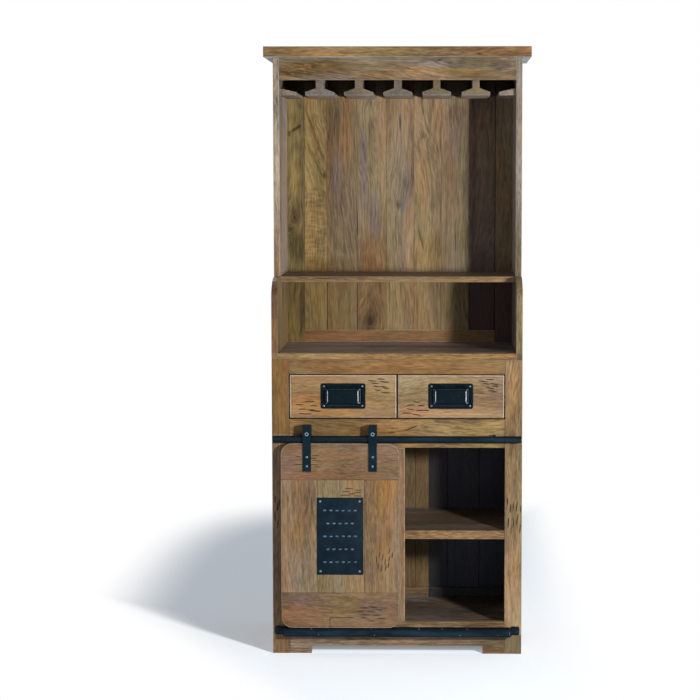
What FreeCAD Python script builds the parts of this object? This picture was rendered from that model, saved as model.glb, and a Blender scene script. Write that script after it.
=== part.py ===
"""Bar cabinet: a base with two drawers and a sliding barn door, under a shallower hutch with a glass rack.

Millimetres. +X is to the viewer's right, the front faces -Y and +Z is up.
The origin is on the floor, in the middle of the whole cabinet with its steel fittings.
"""
import FreeCAD, Part
import math
import os

Vector = FreeCAD.Vector

# Boards of the carcass
body_width = 740.0
body_depth = 400.0
side_board = 18.0
back_board = 16.0
frame_board = 20.0
divider_board = 18.0
floor_board = 18.0
deck_board = 16.0
edge_round = 1.5
cut_overrun = 5.0

# Heights from the floor up, one after the other
foot_height = 24.0
bottom_rail_height = 72.6
lower_bay_height = 249.4
mid_shelf_board = 25.4
upper_bay_height = 247.6
mid_rail_height = 85.5
drawer_bay_height = 133.0
top_rail_height = 43.5
counter_board_height = 18.0
niche_height = 205.0
hutch_shelf_board = 17.0
hutch_height = 649.0
cornice_board_height = 31.0

# Face frame, feet and base back
stile_width = 51.0
centre_stile_width = 46.0
foot_length = 115.0
floor_drop = 8.6
floor_strip_height = 29.0
floor_strip_depth = 14.0
base_plank_count = 7
plank_groove = 2.0

# Hutch
hutch_setback = 98.0
wing_drop = 61.0
cornice_side_overhang = 26.0
cornice_front_overhang = 30.0
fascia_height = 66.0
fascia_board_depth = 18.0
back_stile_width = 53.0
back_rail_height = 38.0
back_plank_joint_shares = [0.0, 0.118, 0.277, 0.429, 0.575, 0.717, 0.863, 1.0]
plank_chamfer = 1.2

# Glass rack
rack_board_height = 16.0
rack_board_raise = 8.0
slat_count = 5
slat_pitch_share = 0.1655
stem_width = 21.0
stem_show = 23.4
head_width = 84.0
head_slope_height = 11.2
head_edge_height = 9.8
half_slat_reach = 50.0

# Sliding door
door_edge_inset = 28.0
door_width = 349.0
door_board_depth = 22.0
door_back_gap = 10.0
door_top_gap = 1.2
door_foot_gap = 1.5
door_corner_radius = 32.0
door_top_board_height = 108.0
door_bottom_board_height = 105.5
door_left_board_width = 107.5
door_right_board_width = 103.0

# Sign plate on the door
sign_width = 138.0
sign_height = 231.0
sign_depth = 2.5
sign_drop = 160.5
sign_corner_radius = 4.0
sign_screw_inset = 11.0

# Steel rail and its hangers and rollers
rail_end_inset = 4.0
rail_height = 19.5
rail_depth = 14.0
rail_raise = 18.0
rail_edge_round = 2.5
standoff_radius = 5.0
standoff_count = 3
standoff_end_inset = 24.0
strap_width = 24.0
strap_depth = 4.0
strap_rise = 25.5
strap_lap = 83.0
strap_bend_radius = 6.0
strap_back_reach = 9.0
strap_back_gap = 3.0
hanger_spread = 194.0
axle_radius = 3.0
axle_head_radius = 7.0
axle_head_depth = 3.0
axle_socket_radius = 2.6
axle_socket_depth = 2.0
bolt_hole_clearance = 0.1
roller_bore_clearance = 0.05
roller_tread_radius = 7.2
roller_flange_radius = 10.3
roller_flange_depth = 2.5
roller_rail_gap = 0.3
roller_side_clearance = 0.5
stop_inset = 80.0
stop_radius = 5.0
stop_height = 4.5

# Screws with domed heads, alike on the door and on the track
screw_head_radius = 4.2
screw_head_depth = 2.2
screw_shank_radius = 1.8
screw_shank_length = 9.0
strap_screw_drop = 40.0
strap_screw_pitch = 27.2

# Floor track and the pins that run in it
track_end_inset = 34.0
track_raise = 33.5
track_height = 25.3
track_depth = 20.0
track_wall = 3.0
track_leg_run = 6.0
track_tab_length = 22.0
track_tab_radius = 5.0
pin_radius = 5.0
pin_reach = 17.0
pin_end_inset = 48.0
pin_socket_depth = 12.0

# Drawers
drawer_gap = 2.5
drawer_centre_gap = 3.0
drawer_front_depth = 20.0
drawer_side_board = 12.0
drawer_top_room = 33.0
drawer_rear_room = 26.0
drawer_bottom_board = 6.0
drawer_bottom_raise = 8.0
drawer_slide_clearance = 0.4
drawer_side_clearance = 0.6
guide_height = 30.0
guide_width = 14.0

# Cup pull
plate_width = 132.0
plate_height = 75.5
plate_depth = 2.5
plate_corner_radius = 6.0
plate_raise = 2.0
cup_wall = 2.0
cup_foot_width = 104.0
cup_face_width = 78.0
cup_reach = 19.0
cup_top_rise = 26.5
cup_face_rise = 19.5
cup_foot_drop = 21.0
cup_face_drop = 19.0
cup_round = 4.5
rivet_radius = 3.4
rivet_height = 2.4
rivet_side_inset = 9.2
rivet_end_inset = 8.8

# Levels worked out from the heights
bottom_rail_top = foot_height + bottom_rail_height
mid_shelf_underside = bottom_rail_top + lower_bay_height
mid_shelf_top = mid_shelf_underside + mid_shelf_board
mid_rail_underside = mid_shelf_top + upper_bay_height
drawer_bay_floor = mid_rail_underside + mid_rail_height
drawer_bay_top = drawer_bay_floor + drawer_bay_height
counter_underside = drawer_bay_top + top_rail_height
counter_top = counter_underside + counter_board_height
hutch_shelf_underside = counter_top + niche_height
hutch_shelf_top = hutch_shelf_underside + hutch_shelf_board
cornice_underside = hutch_shelf_top + hutch_height
fascia_underside = cornice_underside - fascia_height
floor_top = bottom_rail_top - floor_drop
floor_underside = floor_top - floor_board

# Depths: the fittings in front of the base move the body back from the origin
strap_front_offset = door_back_gap + door_board_depth + strap_depth
fittings_depth = strap_front_offset + axle_head_depth
front_y = (fittings_depth - body_depth) / 2
back_y = front_y + body_depth
frame_back_y = front_y + frame_board
inner_back_y = back_y - back_board
hutch_front_y = front_y + hutch_setback
door_back_y = front_y - door_back_gap
door_front_y = door_back_y - door_board_depth
strap_front_y = door_front_y - strap_depth
strap_leg_back_y = front_y - strap_back_gap
strap_leg_front_y = strap_leg_back_y - strap_depth
rail_centre_y = (door_front_y + strap_leg_front_y) / 2
rail_back_y = rail_centre_y + rail_depth / 2
rail_front_y = rail_centre_y - rail_depth / 2

# Widths
half_body = body_width / 2
inner_half = half_body - side_board
stile_inner_x = half_body - stile_width
half_centre_stile = centre_stile_width / 2
half_divider = divider_board / 2
back_stile_inner_x = inner_half - back_stile_width
slat_pitch = 2 * inner_half * slat_pitch_share
rail_length = body_width - 2 * rail_end_inset
track_half_length = half_body - track_end_inset

# Door, hanger and rail places
door_left_x = door_edge_inset - half_body
door_right_x = door_left_x + door_width
door_centre_x = (door_left_x + door_right_x) / 2
rail_underside = mid_rail_underside + rail_raise
rail_top = rail_underside + rail_height
rail_centre_z = (rail_underside + rail_top) / 2
track_underside = foot_height + track_raise
track_top = track_underside + track_height
door_top = rail_underside - door_top_gap
door_bottom = track_top + door_foot_gap
axle_z = rail_top + roller_rail_gap + roller_tread_radius
strap_top = axle_z + strap_rise
strap_bottom = door_top - strap_lap
hanger_places = {"left": door_centre_x - hanger_spread / 2, "right": door_centre_x + hanger_spread / 2}


def block(x_low, x_high, y_low, y_high, z_low, z_high):
    """Plain box between two corners."""
    size_x = x_high - x_low
    size_y = y_high - y_low
    size_z = z_high - z_low
    return Part.makeBox(size_x, size_y, size_z, Vector(x_low, y_low, z_low))


def board(x_low, x_high, y_low, y_high, z_low, z_high):
    """Wooden board with all its edges eased."""
    plain = block(x_low, x_high, y_low, y_high, z_low, z_high)
    return plain.makeFillet(edge_round, plain.Edges)


def prism(points, direction):
    """Closed outline of points pushed along a vector."""
    outline = Part.makePolygon(points + points[:1])
    return Part.Face(outline).extrude(direction)


def straight_edges(points):
    """Straight edges from each point to the next."""
    return [Part.LineSegment(start, end).toShape() for start, end in zip(points, points[1:])]


def cylinder_y(radius, x, z, y_low, y_high):
    """Round bar that runs front to back."""
    return Part.makeCylinder(radius, y_high - y_low, Vector(x, y_low, z), Vector(0, 1, 0))


def vertical_edges(shape):
    """Edges of a shape that run straight up."""
    return [edge for edge in shape.Edges if runs_along(edge, Vector(0, 0, 1))]


def runs_along(edge, direction):
    """True for a straight edge along a direction."""
    if edge.Curve.TypeId != "Part::GeomLine":
        return False
    return abs(edge.Curve.Direction.dot(direction)) > math.cos(math.radians(1))


def rounded_plate(x_mid, z_mid, width, height, y_low, y_high, radius):
    """Upright plate with rounded corners."""
    plain = block(
        x_mid - width / 2, x_mid + width / 2, y_low, y_high, z_mid - height / 2, z_mid + height / 2
    )
    corners = [edge for edge in plain.Edges if runs_along(edge, Vector(0, 1, 0))]
    return plain.makeFillet(radius, corners)


def domed_pin(x, z, y_seat, radius, height):
    """Domed head that stands forward from a face, with a shank that runs back from it."""
    sphere_radius = (radius ** 2 + height ** 2) / (2 * height)
    half_turn = math.asin(radius / sphere_radius) / 2
    crown = Vector(x, y_seat - height, z)
    mid = Vector(
        x + sphere_radius * math.sin(half_turn),
        y_seat - height + sphere_radius * (1 - math.cos(half_turn)),
        z,
    )
    corners = [
        Vector(x + radius, y_seat, z),
        Vector(x + screw_shank_radius, y_seat, z),
        Vector(x + screw_shank_radius, y_seat + screw_shank_length, z),
        Vector(x, y_seat + screw_shank_length, z),
        crown,
    ]
    outline = [Part.Arc(crown, mid, corners[0]).toShape()] + straight_edges(corners)
    profile = Part.Face(Part.Wire(outline))
    return profile.revolve(Vector(x, 0, z), Vector(0, 1, 0), 360)


def domed_screw(x, z, y_seat):
    """Screw with a domed head."""
    return domed_pin(x, z, y_seat, screw_head_radius, screw_head_depth)


def screw_hole(x, z, y_seat):
    """Hole that a domed screw's shank stands in."""
    radius = screw_shank_radius + bolt_hole_clearance
    return cylinder_y(radius, x, z, y_seat - cut_overrun, y_seat + screw_shank_length)


def group(shapes):
    """Separate solids of one node."""
    return Part.makeCompound(shapes)


def base_side(sign):
    """Side board of the base, cut away between its feet, with its wing swept back to the hutch."""
    sweep_centre = Vector(0, hutch_front_y, hutch_shelf_top - wing_drop)
    corners = [
        (frame_back_y, 0),
        (front_y + foot_length, 0),
        (front_y + foot_length, foot_height),
        (back_y - foot_length, foot_height),
        (back_y - foot_length, 0),
        (back_y, 0),
        (back_y, hutch_shelf_top),
        (hutch_front_y, hutch_shelf_top),
    ]
    points = [Vector(0, y, z) for y, z in corners]
    outline = straight_edges(points)
    wing_foot = Vector(0, front_y, sweep_centre.z)
    sweep = Part.Ellipse(wing_foot, points[-1], sweep_centre)
    outline.append(Part.ArcOfEllipse(sweep, 0, math.radians(90)).toShape())
    last = [
        wing_foot,
        Vector(0, front_y, counter_underside),
        Vector(0, frame_back_y, counter_underside),
        points[0],
    ]
    outline += straight_edges(last)
    face = Part.Face(Part.Wire(outline))
    face.translate(Vector(inner_half if sign > 0 else -half_body, 0, 0))
    return face.extrude(Vector(side_board, 0, 0))


def stile(x_low, x_high, z_low, z_high):
    """Upright board of the face frame."""
    return board(x_low, x_high, front_y, frame_back_y, z_low, z_high)


def frame_rail(z_low, z_high):
    """Level board of the face frame, from stile to stile."""
    return board(-stile_inner_x, stile_inner_x, front_y, frame_back_y, z_low, z_high)


def bottom_rail():
    """Bottom board of the frame, with a low arch cut between its two feet."""
    arch_half = half_body - foot_length
    arch = block(
        -arch_half, arch_half, front_y - cut_overrun, frame_back_y + cut_overrun, -cut_overrun, foot_height
    )
    return frame_rail(0, bottom_rail_top).cut(arch)


def mid_shelf(sign):
    """Shelf that lies behind the frame and comes forward between the stiles."""
    tongue_x = sorted([sign * half_centre_stile, sign * stile_inner_x])
    shelf_x = sorted([sign * half_divider, sign * inner_half])
    tongue = board(*tongue_x, front_y, inner_back_y, mid_shelf_underside, mid_shelf_top)
    deep = block(*shelf_x, frame_back_y, inner_back_y, mid_shelf_underside, mid_shelf_top)
    return tongue.fuse(deep)


def base_back():
    """Back of the base, grooved into planks on its inner face."""
    panel = block(-inner_half, inner_half, inner_back_y, back_y, floor_underside, counter_underside)
    plank_width = 2 * inner_half / base_plank_count
    for number in range(1, base_plank_count):
        x = -inner_half + number * plank_width
        profile = [
            Vector(x - plank_groove / 2, inner_back_y, floor_top),
            Vector(x + plank_groove / 2, inner_back_y, floor_top),
            Vector(x, inner_back_y + plank_groove, floor_top),
        ]
        panel = panel.cut(prism(profile, Vector(0, 0, counter_underside - floor_top)))
    return panel


def back_floor_strips():
    """Low strips on the floor along the back, one in each compartment."""
    strips = []
    for low, high in [(-inner_half, -half_divider), (half_divider, inner_half)]:
        strips.append(
            board(
                low, high, inner_back_y - floor_strip_depth, inner_back_y, floor_top,
                floor_top + floor_strip_height,
            )
        )
    return group(strips)


def drawer_guides():
    """Strips on the deck that keep the drawers straight."""
    guide_top = drawer_bay_floor + guide_height
    spans = [
        (-inner_half, -stile_inner_x),
        (-guide_width / 2, guide_width / 2),
        (stile_inner_x, inner_half),
    ]
    return group(
        [block(low, high, frame_back_y, inner_back_y, drawer_bay_floor, guide_top) for low, high in spans]
    )


def plank_joint(number):
    """Place of a joint between two planks of the hutch's back."""
    return back_stile_inner_x * (2 * back_plank_joint_shares[number] - 1)


def hutch_back_planks():
    """Upright planks of the hutch's back, with their front edges chamfered."""
    planks = []
    for number in range(len(back_plank_joint_shares) - 1):
        plank = block(
            plank_joint(number), plank_joint(number + 1), inner_back_y, back_y,
            counter_top + back_rail_height, cornice_underside,
        )
        mid_y = back_y - back_board / 2
        front_edges = [edge for edge in vertical_edges(plank) if edge.CenterOfMass.y < mid_y]
        planks.append(plank.makeChamfer(plank_chamfer, front_edges))
    return group(planks)


def back_stiles():
    """Upright boards at both sides of the hutch's back."""
    return group(
        [
            board(-inner_half, -back_stile_inner_x, inner_back_y, back_y, counter_top, cornice_underside),
            board(back_stile_inner_x, inner_half, inner_back_y, back_y, counter_top, cornice_underside),
        ]
    )


def rack_levels():
    """Heights of a rack slat, from its stem's top down to its foot."""
    stem_top = fascia_underside + rack_board_raise
    stem_foot = fascia_underside - stem_show
    slope_foot = stem_foot - head_slope_height
    return stem_top, stem_foot, slope_foot, slope_foot - head_edge_height


def rack_slat(number):
    """Hanging slat with a T section that the glasses' feet slide along."""
    x = (number - (slat_count + 1) / 2) * slat_pitch
    stem_top, stem_foot, slope_foot, foot = rack_levels()
    right = [
        (stem_width / 2, stem_top),
        (stem_width / 2, stem_foot),
        (head_width / 2, slope_foot),
        (head_width / 2, foot),
    ]
    left = [(-across, level) for across, level in reversed(right)]
    rack_front_y = hutch_front_y + fascia_board_depth
    points = [Vector(x + across, rack_front_y, level) for across, level in right + left]
    return prism(points, Vector(0, inner_back_y - rack_front_y, 0))


def rack_half_slats():
    """Ledges on both side boards that close the outer glass rows."""
    stem_top, stem_foot, slope_foot, foot = rack_levels()
    rack_front_y = hutch_front_y + fascia_board_depth
    ledges = []
    for sign in (-1, 1):
        wall = sign * inner_half
        end = sign * (inner_half - half_slat_reach)
        outline = [(wall, stem_foot), (end, slope_foot), (end, foot), (wall, foot)]
        points = [Vector(x, rack_front_y, z) for x, z in outline]
        ledges.append(prism(points, Vector(0, inner_back_y - rack_front_y, 0)))
    return group(ledges)


def door_panel():
    """Whole outline of the door with its rounded corners and eased edges."""
    panel = rounded_plate(
        door_centre_x, (door_top + door_bottom) / 2, door_width, door_top - door_bottom,
        door_front_y, door_back_y, door_corner_radius,
    )
    outline = [edge for edge in panel.Edges if not runs_along(edge, Vector(0, 1, 0))]
    return panel.makeFillet(edge_round, outline)


def door_holes():
    """Holes for every screw, bolt and pin that stands in the door's boards."""
    holes = [screw_hole(x, z, door_front_y) for x, z in sign_screw_places() + strap_screw_places()]
    for x in pin_places():
        radius = pin_radius + bolt_hole_clearance
        foot = Vector(x, track_centre_y(), door_bottom - cut_overrun)
        holes.append(Part.makeCylinder(radius, pin_socket_depth + cut_overrun, foot))
    return holes


def door_board(x_low, x_high, z_low, z_high):
    """One flush board of the door, cut from its outline and eased where it meets the next."""
    room = board(x_low, x_high, door_front_y, door_back_y, z_low, z_high)
    shape = door_panel().common(room)
    holes = [hole for hole in door_holes() if hole.BoundBox.intersect(shape.BoundBox)]
    for hole in holes:
        shape = shape.cut(hole)
    return shape


def door_boards():
    """Top and bottom boards across the door and three upright boards between them."""
    low_z = door_bottom + door_bottom_board_height
    high_z = door_top - door_top_board_height
    left_x = door_left_x + door_left_board_width
    right_x = door_right_x - door_right_board_width
    past_left = door_left_x - cut_overrun
    past_right = door_right_x + cut_overrun
    return {
        "door_board_top": door_board(past_left, past_right, high_z, door_top + cut_overrun),
        "door_board_bottom": door_board(past_left, past_right, door_bottom - cut_overrun, low_z),
        "door_board_left": door_board(past_left, left_x, low_z, high_z),
        "door_board_centre": door_board(left_x, right_x, low_z, high_z),
        "door_board_right": door_board(right_x, past_right, low_z, high_z),
    }


def sign_centre_z():
    """Middle of the sign plate."""
    return door_top - sign_drop - sign_height / 2


def sign_screw_places():
    """Four corners of the sign plate, in from its edges."""
    half_x = sign_width / 2 - sign_screw_inset
    half_z = sign_height / 2 - sign_screw_inset
    return [(door_centre_x + sx * half_x, sign_centre_z() + sz * half_z) for sx in (-1, 1) for sz in (-1, 1)]


def strap_screw_places():
    """Two screws one above the other in each strap."""
    level = door_top - strap_screw_drop
    return [(x, level - row * strap_screw_pitch) for x in hanger_places.values() for row in range(2)]


def sign_plate():
    """Black steel plate on the door."""
    plate = rounded_plate(
        door_centre_x, sign_centre_z(), sign_width, sign_height, door_front_y - sign_depth, door_front_y,
        sign_corner_radius,
    )
    for x, z in sign_screw_places():
        plate = plate.cut(screw_hole(x, z, door_front_y - sign_depth))
    return plate


def door_screws():
    """Screws of the sign plate and of both straps."""
    screws = [domed_screw(x, z, door_front_y - sign_depth) for x, z in sign_screw_places()]
    screws += [domed_screw(x, z, strap_front_y) for x, z in strap_screw_places()]
    return group(screws)


def hanger(x):
    """Strap that lies on the door, folds over the roller and comes down behind it."""
    outer = block(
        x - strap_width / 2, x + strap_width / 2, strap_front_y, strap_leg_back_y, strap_bottom, strap_top
    )
    top_edges = [
        edge for edge in outer.Edges if runs_along(edge, Vector(1, 0, 0)) and edge.CenterOfMass.z > axle_z
    ]
    outer = outer.makeFillet(strap_bend_radius, top_edges)
    room = block(
        x - strap_width, x + strap_width, door_front_y, strap_leg_front_y, strap_bottom - cut_overrun,
        strap_top - strap_depth,
    )
    room_edges = [
        edge for edge in room.Edges if runs_along(edge, Vector(1, 0, 0)) and edge.CenterOfMass.z > axle_z
    ]
    room = room.makeFillet(strap_bend_radius - strap_depth, room_edges)
    below_leg = block(
        x - strap_width, x + strap_width, door_front_y, strap_leg_back_y + cut_overrun,
        strap_bottom - cut_overrun, axle_z - strap_back_reach,
    )
    strap = outer.cut(room).cut(below_leg)
    bolt_hole = cylinder_y(
        axle_radius + bolt_hole_clearance, x, axle_z, strap_front_y - cut_overrun, strap_leg_back_y + cut_overrun
    )
    strap = strap.cut(bolt_hole)
    for screw_x, screw_z in strap_screw_places():
        strap = strap.cut(screw_hole(screw_x, screw_z, strap_front_y))
    return strap


def axle_bolts():
    """Button head bolts with a socket, which the rollers turn on."""
    bolts = []
    for x in hanger_places.values():
        head = cylinder_y(axle_head_radius, x, axle_z, strap_front_y - axle_head_depth, strap_front_y)
        mid_y = strap_front_y - axle_head_depth / 2
        round_edges = [edge for edge in head.Edges if edge.Curve.TypeId == "Part::GeomCircle"]
        rim = [edge for edge in round_edges if edge.CenterOfMass.y < mid_y]
        head = head.makeFillet(axle_head_depth / 2, rim)
        socket = cylinder_y(
            axle_socket_radius, x, axle_z, strap_front_y - axle_head_depth - cut_overrun,
            strap_front_y - axle_head_depth + axle_socket_depth,
        )
        shank = cylinder_y(axle_radius, x, axle_z, strap_front_y, strap_leg_back_y)
        bolts.append(head.cut(socket).fuse(shank))
    return group(bolts)


def roller(x):
    """Small steel wheel with a flange on each side of the rail."""
    tread_half = rail_depth / 2 + roller_side_clearance
    flange_half = tread_half + roller_flange_depth
    tread = cylinder_y(
        roller_tread_radius, x, axle_z, rail_centre_y - flange_half, rail_centre_y + flange_half
    )
    front = cylinder_y(
        roller_flange_radius, x, axle_z, rail_centre_y - flange_half, rail_centre_y - tread_half
    )
    rear = cylinder_y(
        roller_flange_radius, x, axle_z, rail_centre_y + tread_half, rail_centre_y + flange_half
    )
    bore = cylinder_y(
        axle_radius + roller_bore_clearance, x, axle_z, rail_centre_y - flange_half - cut_overrun,
        rail_centre_y + flange_half + cut_overrun,
    )
    return tread.fuse([front, rear]).cut(bore).removeSplitter()


def door_rail():
    """Steel bar in front of the frame that carries the door."""
    bar = block(-rail_length / 2, rail_length / 2, rail_front_y, rail_back_y, rail_underside, rail_top)
    long_edges = [edge for edge in bar.Edges if runs_along(edge, Vector(1, 0, 0))]
    return bar.makeFillet(rail_edge_round, long_edges)


def rail_standoffs():
    """Round spacers that hold the rail off the frame."""
    span = rail_length - 2 * standoff_end_inset
    places = [-span / 2 + span * number / (standoff_count - 1) for number in range(standoff_count)]
    return group([cylinder_y(standoff_radius, x, rail_centre_z, rail_back_y, front_y) for x in places])


def rail_stops():
    """Pins on the rail that the rollers stop against."""
    places = [stop_inset - rail_length / 2, rail_length / 2 - stop_inset]
    return group(
        [Part.makeCylinder(stop_radius, stop_height, Vector(x, rail_centre_y, rail_top)) for x in places]
    )


def track_centre_y():
    """Middle of the track, under the middle of the door."""
    return (door_front_y + door_back_y) / 2


def floor_track():
    """Steel channel, open upwards, whose ends slope back to bolted tabs on the frame."""
    front = track_centre_y() - track_depth / 2
    back = track_centre_y() + track_depth / 2
    slot_end = track_half_length - track_wall
    leg_end = track_half_length + track_leg_run
    tab_end = leg_end + track_tab_length
    tab_front_y = front_y - track_wall
    leg_share = (back - front - track_wall) / (tab_front_y - front)
    right = [
        (track_half_length, front),
        (leg_end, tab_front_y),
        (tab_end, tab_front_y),
        (tab_end, front_y),
        (leg_end - track_wall, front_y),
        (slot_end + track_leg_run * leg_share, back),
    ]
    left = [(-x, y) for x, y in reversed(right)]
    points = [Vector(x, y, track_underside) for x, y in right + left]
    track = prism(points, Vector(0, 0, track_height))
    corners = [
        edge for edge in track.Edges
        if runs_along(edge, Vector(0, 1, 0)) and abs(edge.CenterOfMass.x) > tab_end - track_wall
    ]
    track = track.makeFillet(track_tab_radius, corners)
    slot = block(
        -slot_end, slot_end, front + track_wall, back - track_wall, track_underside + track_wall,
        track_top + cut_overrun,
    )
    track = track.cut(slot)
    for sign in (-1, 1):
        track = track.cut(screw_hole(sign * track_screw_x(), track_screw_z(), tab_front_y))
    return track


def track_screw_x():
    """Middle of a tab."""
    return track_half_length + track_leg_run + track_tab_length / 2 + track_wall / 2


def track_screw_z():
    """Middle height of the track."""
    return (track_underside + track_top) / 2


def track_screws():
    """Screws that hold the track's tabs."""
    return group(
        [domed_screw(sign * track_screw_x(), track_screw_z(), front_y - track_wall) for sign in (-1, 1)]
    )


def pin_places():
    """Guide pins near both ends of the door's foot."""
    return [door_left_x + pin_end_inset, door_right_x - pin_end_inset]


def guide_pins():
    """Pins under the door that run in the track."""
    low_z = door_bottom - pin_reach
    length = pin_reach + pin_socket_depth
    return group([Part.makeCylinder(pin_radius, length, Vector(x, track_centre_y(), low_z)) for x in pin_places()])


def drawer_box_span(sign):
    """Sides of a drawer's box, from the centre guide to the outer guide."""
    near = guide_width / 2 + drawer_side_clearance
    far = stile_inner_x - drawer_side_clearance
    return sorted([sign * near, sign * far])


def drawer_front_span(sign):
    """Sides of a drawer's front."""
    return sorted([sign * drawer_centre_gap / 2, sign * (stile_inner_x - drawer_gap)])


def drawer_back_y():
    """Rear face of a drawer's box."""
    return inner_back_y - drawer_rear_room


def drawer_front(sign):
    """Inset front, flush with the frame."""
    low, high = drawer_front_span(sign)
    front = board(
        low, high, front_y, front_y + drawer_front_depth, drawer_bay_floor + drawer_gap, drawer_bay_top - drawer_gap
    )
    for x, z in rivet_places(sign):
        front = front.cut(rivet_hole(x, z))
    return front


def drawer_frame(sign):
    """Two sides and a back of a drawer's box, with a groove for the bottom."""
    low, high = drawer_box_span(sign)
    near_y = front_y + drawer_front_depth
    far_y = drawer_back_y()
    low_z = drawer_bay_floor + drawer_slide_clearance
    high_z = drawer_bay_top + drawer_slide_clearance - drawer_top_room
    inner_low = low + drawer_side_board
    inner_high = high - drawer_side_board
    pieces = [
        block(low, inner_low, near_y, far_y, low_z, high_z),
        block(inner_high, high, near_y, far_y, low_z, high_z),
        block(inner_low, inner_high, far_y - drawer_side_board, far_y, low_z, high_z),
    ]
    return group([piece.cut(drawer_bottom(sign)) for piece in pieces])


def drawer_bottom(sign):
    """Thin bottom board, let into the sides and back by half their thickness."""
    low, high = drawer_box_span(sign)
    groove = drawer_side_board / 2
    low_z = drawer_bay_floor + drawer_slide_clearance + drawer_bottom_raise
    return block(
        low + groove, high - groove, front_y + drawer_front_depth, drawer_back_y() - groove,
        low_z, low_z + drawer_bottom_board,
    )


def pull_centre(sign):
    """Middle of a pull's plate."""
    low, high = drawer_front_span(sign)
    return (low + high) / 2, (drawer_bay_floor + drawer_bay_top) / 2 + plate_raise


def rivet_places(sign):
    """Four corners of a pull's plate."""
    x, z = pull_centre(sign)
    half_x = plate_width / 2 - rivet_side_inset
    half_z = plate_height / 2 - rivet_end_inset
    return [(x + sx * half_x, z + sz * half_z) for sx in (-1, 1) for sz in (-1, 1)]


def rivet_hole(x, z):
    """Hole for a rivet's shank through the plate and into the front."""
    radius = screw_shank_radius + bolt_hole_clearance
    return cylinder_y(radius, x, z, front_y - plate_depth - cut_overrun, front_y + screw_shank_length)


def cup_section(x, y, inset, low_z, high_z, width):
    """Level outline of the cup at one depth."""
    half = width / 2 - inset
    corners = [
        Vector(x - half, y, low_z),
        Vector(x + half, y, low_z),
        Vector(x + half, y, high_z - inset),
        Vector(x - half, y, high_z - inset),
    ]
    return Part.makePolygon(corners + corners[:1])


def drawer_pull(sign):
    """Plate with a cup that bulges forward and is open below for the fingers."""
    x, z = pull_centre(sign)
    plate_front_y = front_y - plate_depth
    face_y = plate_front_y - cup_reach
    plate = rounded_plate(x, z, plate_width, plate_height, plate_front_y, front_y, plate_corner_radius)
    outer = Part.makeLoft(
        [
            cup_section(x, plate_front_y, 0, z - cup_foot_drop, z + cup_top_rise, cup_foot_width),
            cup_section(x, face_y, 0, z - cup_face_drop, z + cup_face_rise, cup_face_width),
        ],
        True, True,
    )
    raised = [edge for edge in outer.Edges if edge.CenterOfMass.y < plate_front_y - cup_round / 2]
    outer = outer.makeFillet(cup_round, [edge for edge in raised if edge.CenterOfMass.z > z - cup_round])
    room = Part.makeLoft(
        [
            cup_section(
                x, plate_front_y, cup_wall, z - cup_foot_drop - cut_overrun, z + cup_top_rise, cup_foot_width
            ),
            cup_section(
                x, face_y + cup_wall, cup_wall, z - cup_foot_drop - cut_overrun, z + cup_face_rise, cup_face_width
            ),
        ],
        True, True,
    )
    pull = plate.fuse(outer.cut(room)).removeSplitter()
    for rivet_x, rivet_z in rivet_places(sign):
        pull = pull.cut(rivet_hole(rivet_x, rivet_z))
    return pull


def pull_rivets(sign):
    """Domed rivets at the corners of a pull's plate."""
    seat = front_y - plate_depth
    return group([domed_pin(x, z, seat, rivet_radius, rivet_height) for x, z in rivet_places(sign)])


def with_track_holes(shape):
    """Frame board with the holes of the track's screws."""
    for sign in (-1, 1):
        shape = shape.cut(screw_hole(sign * track_screw_x(), track_screw_z(), front_y - track_wall))
    return shape


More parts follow.
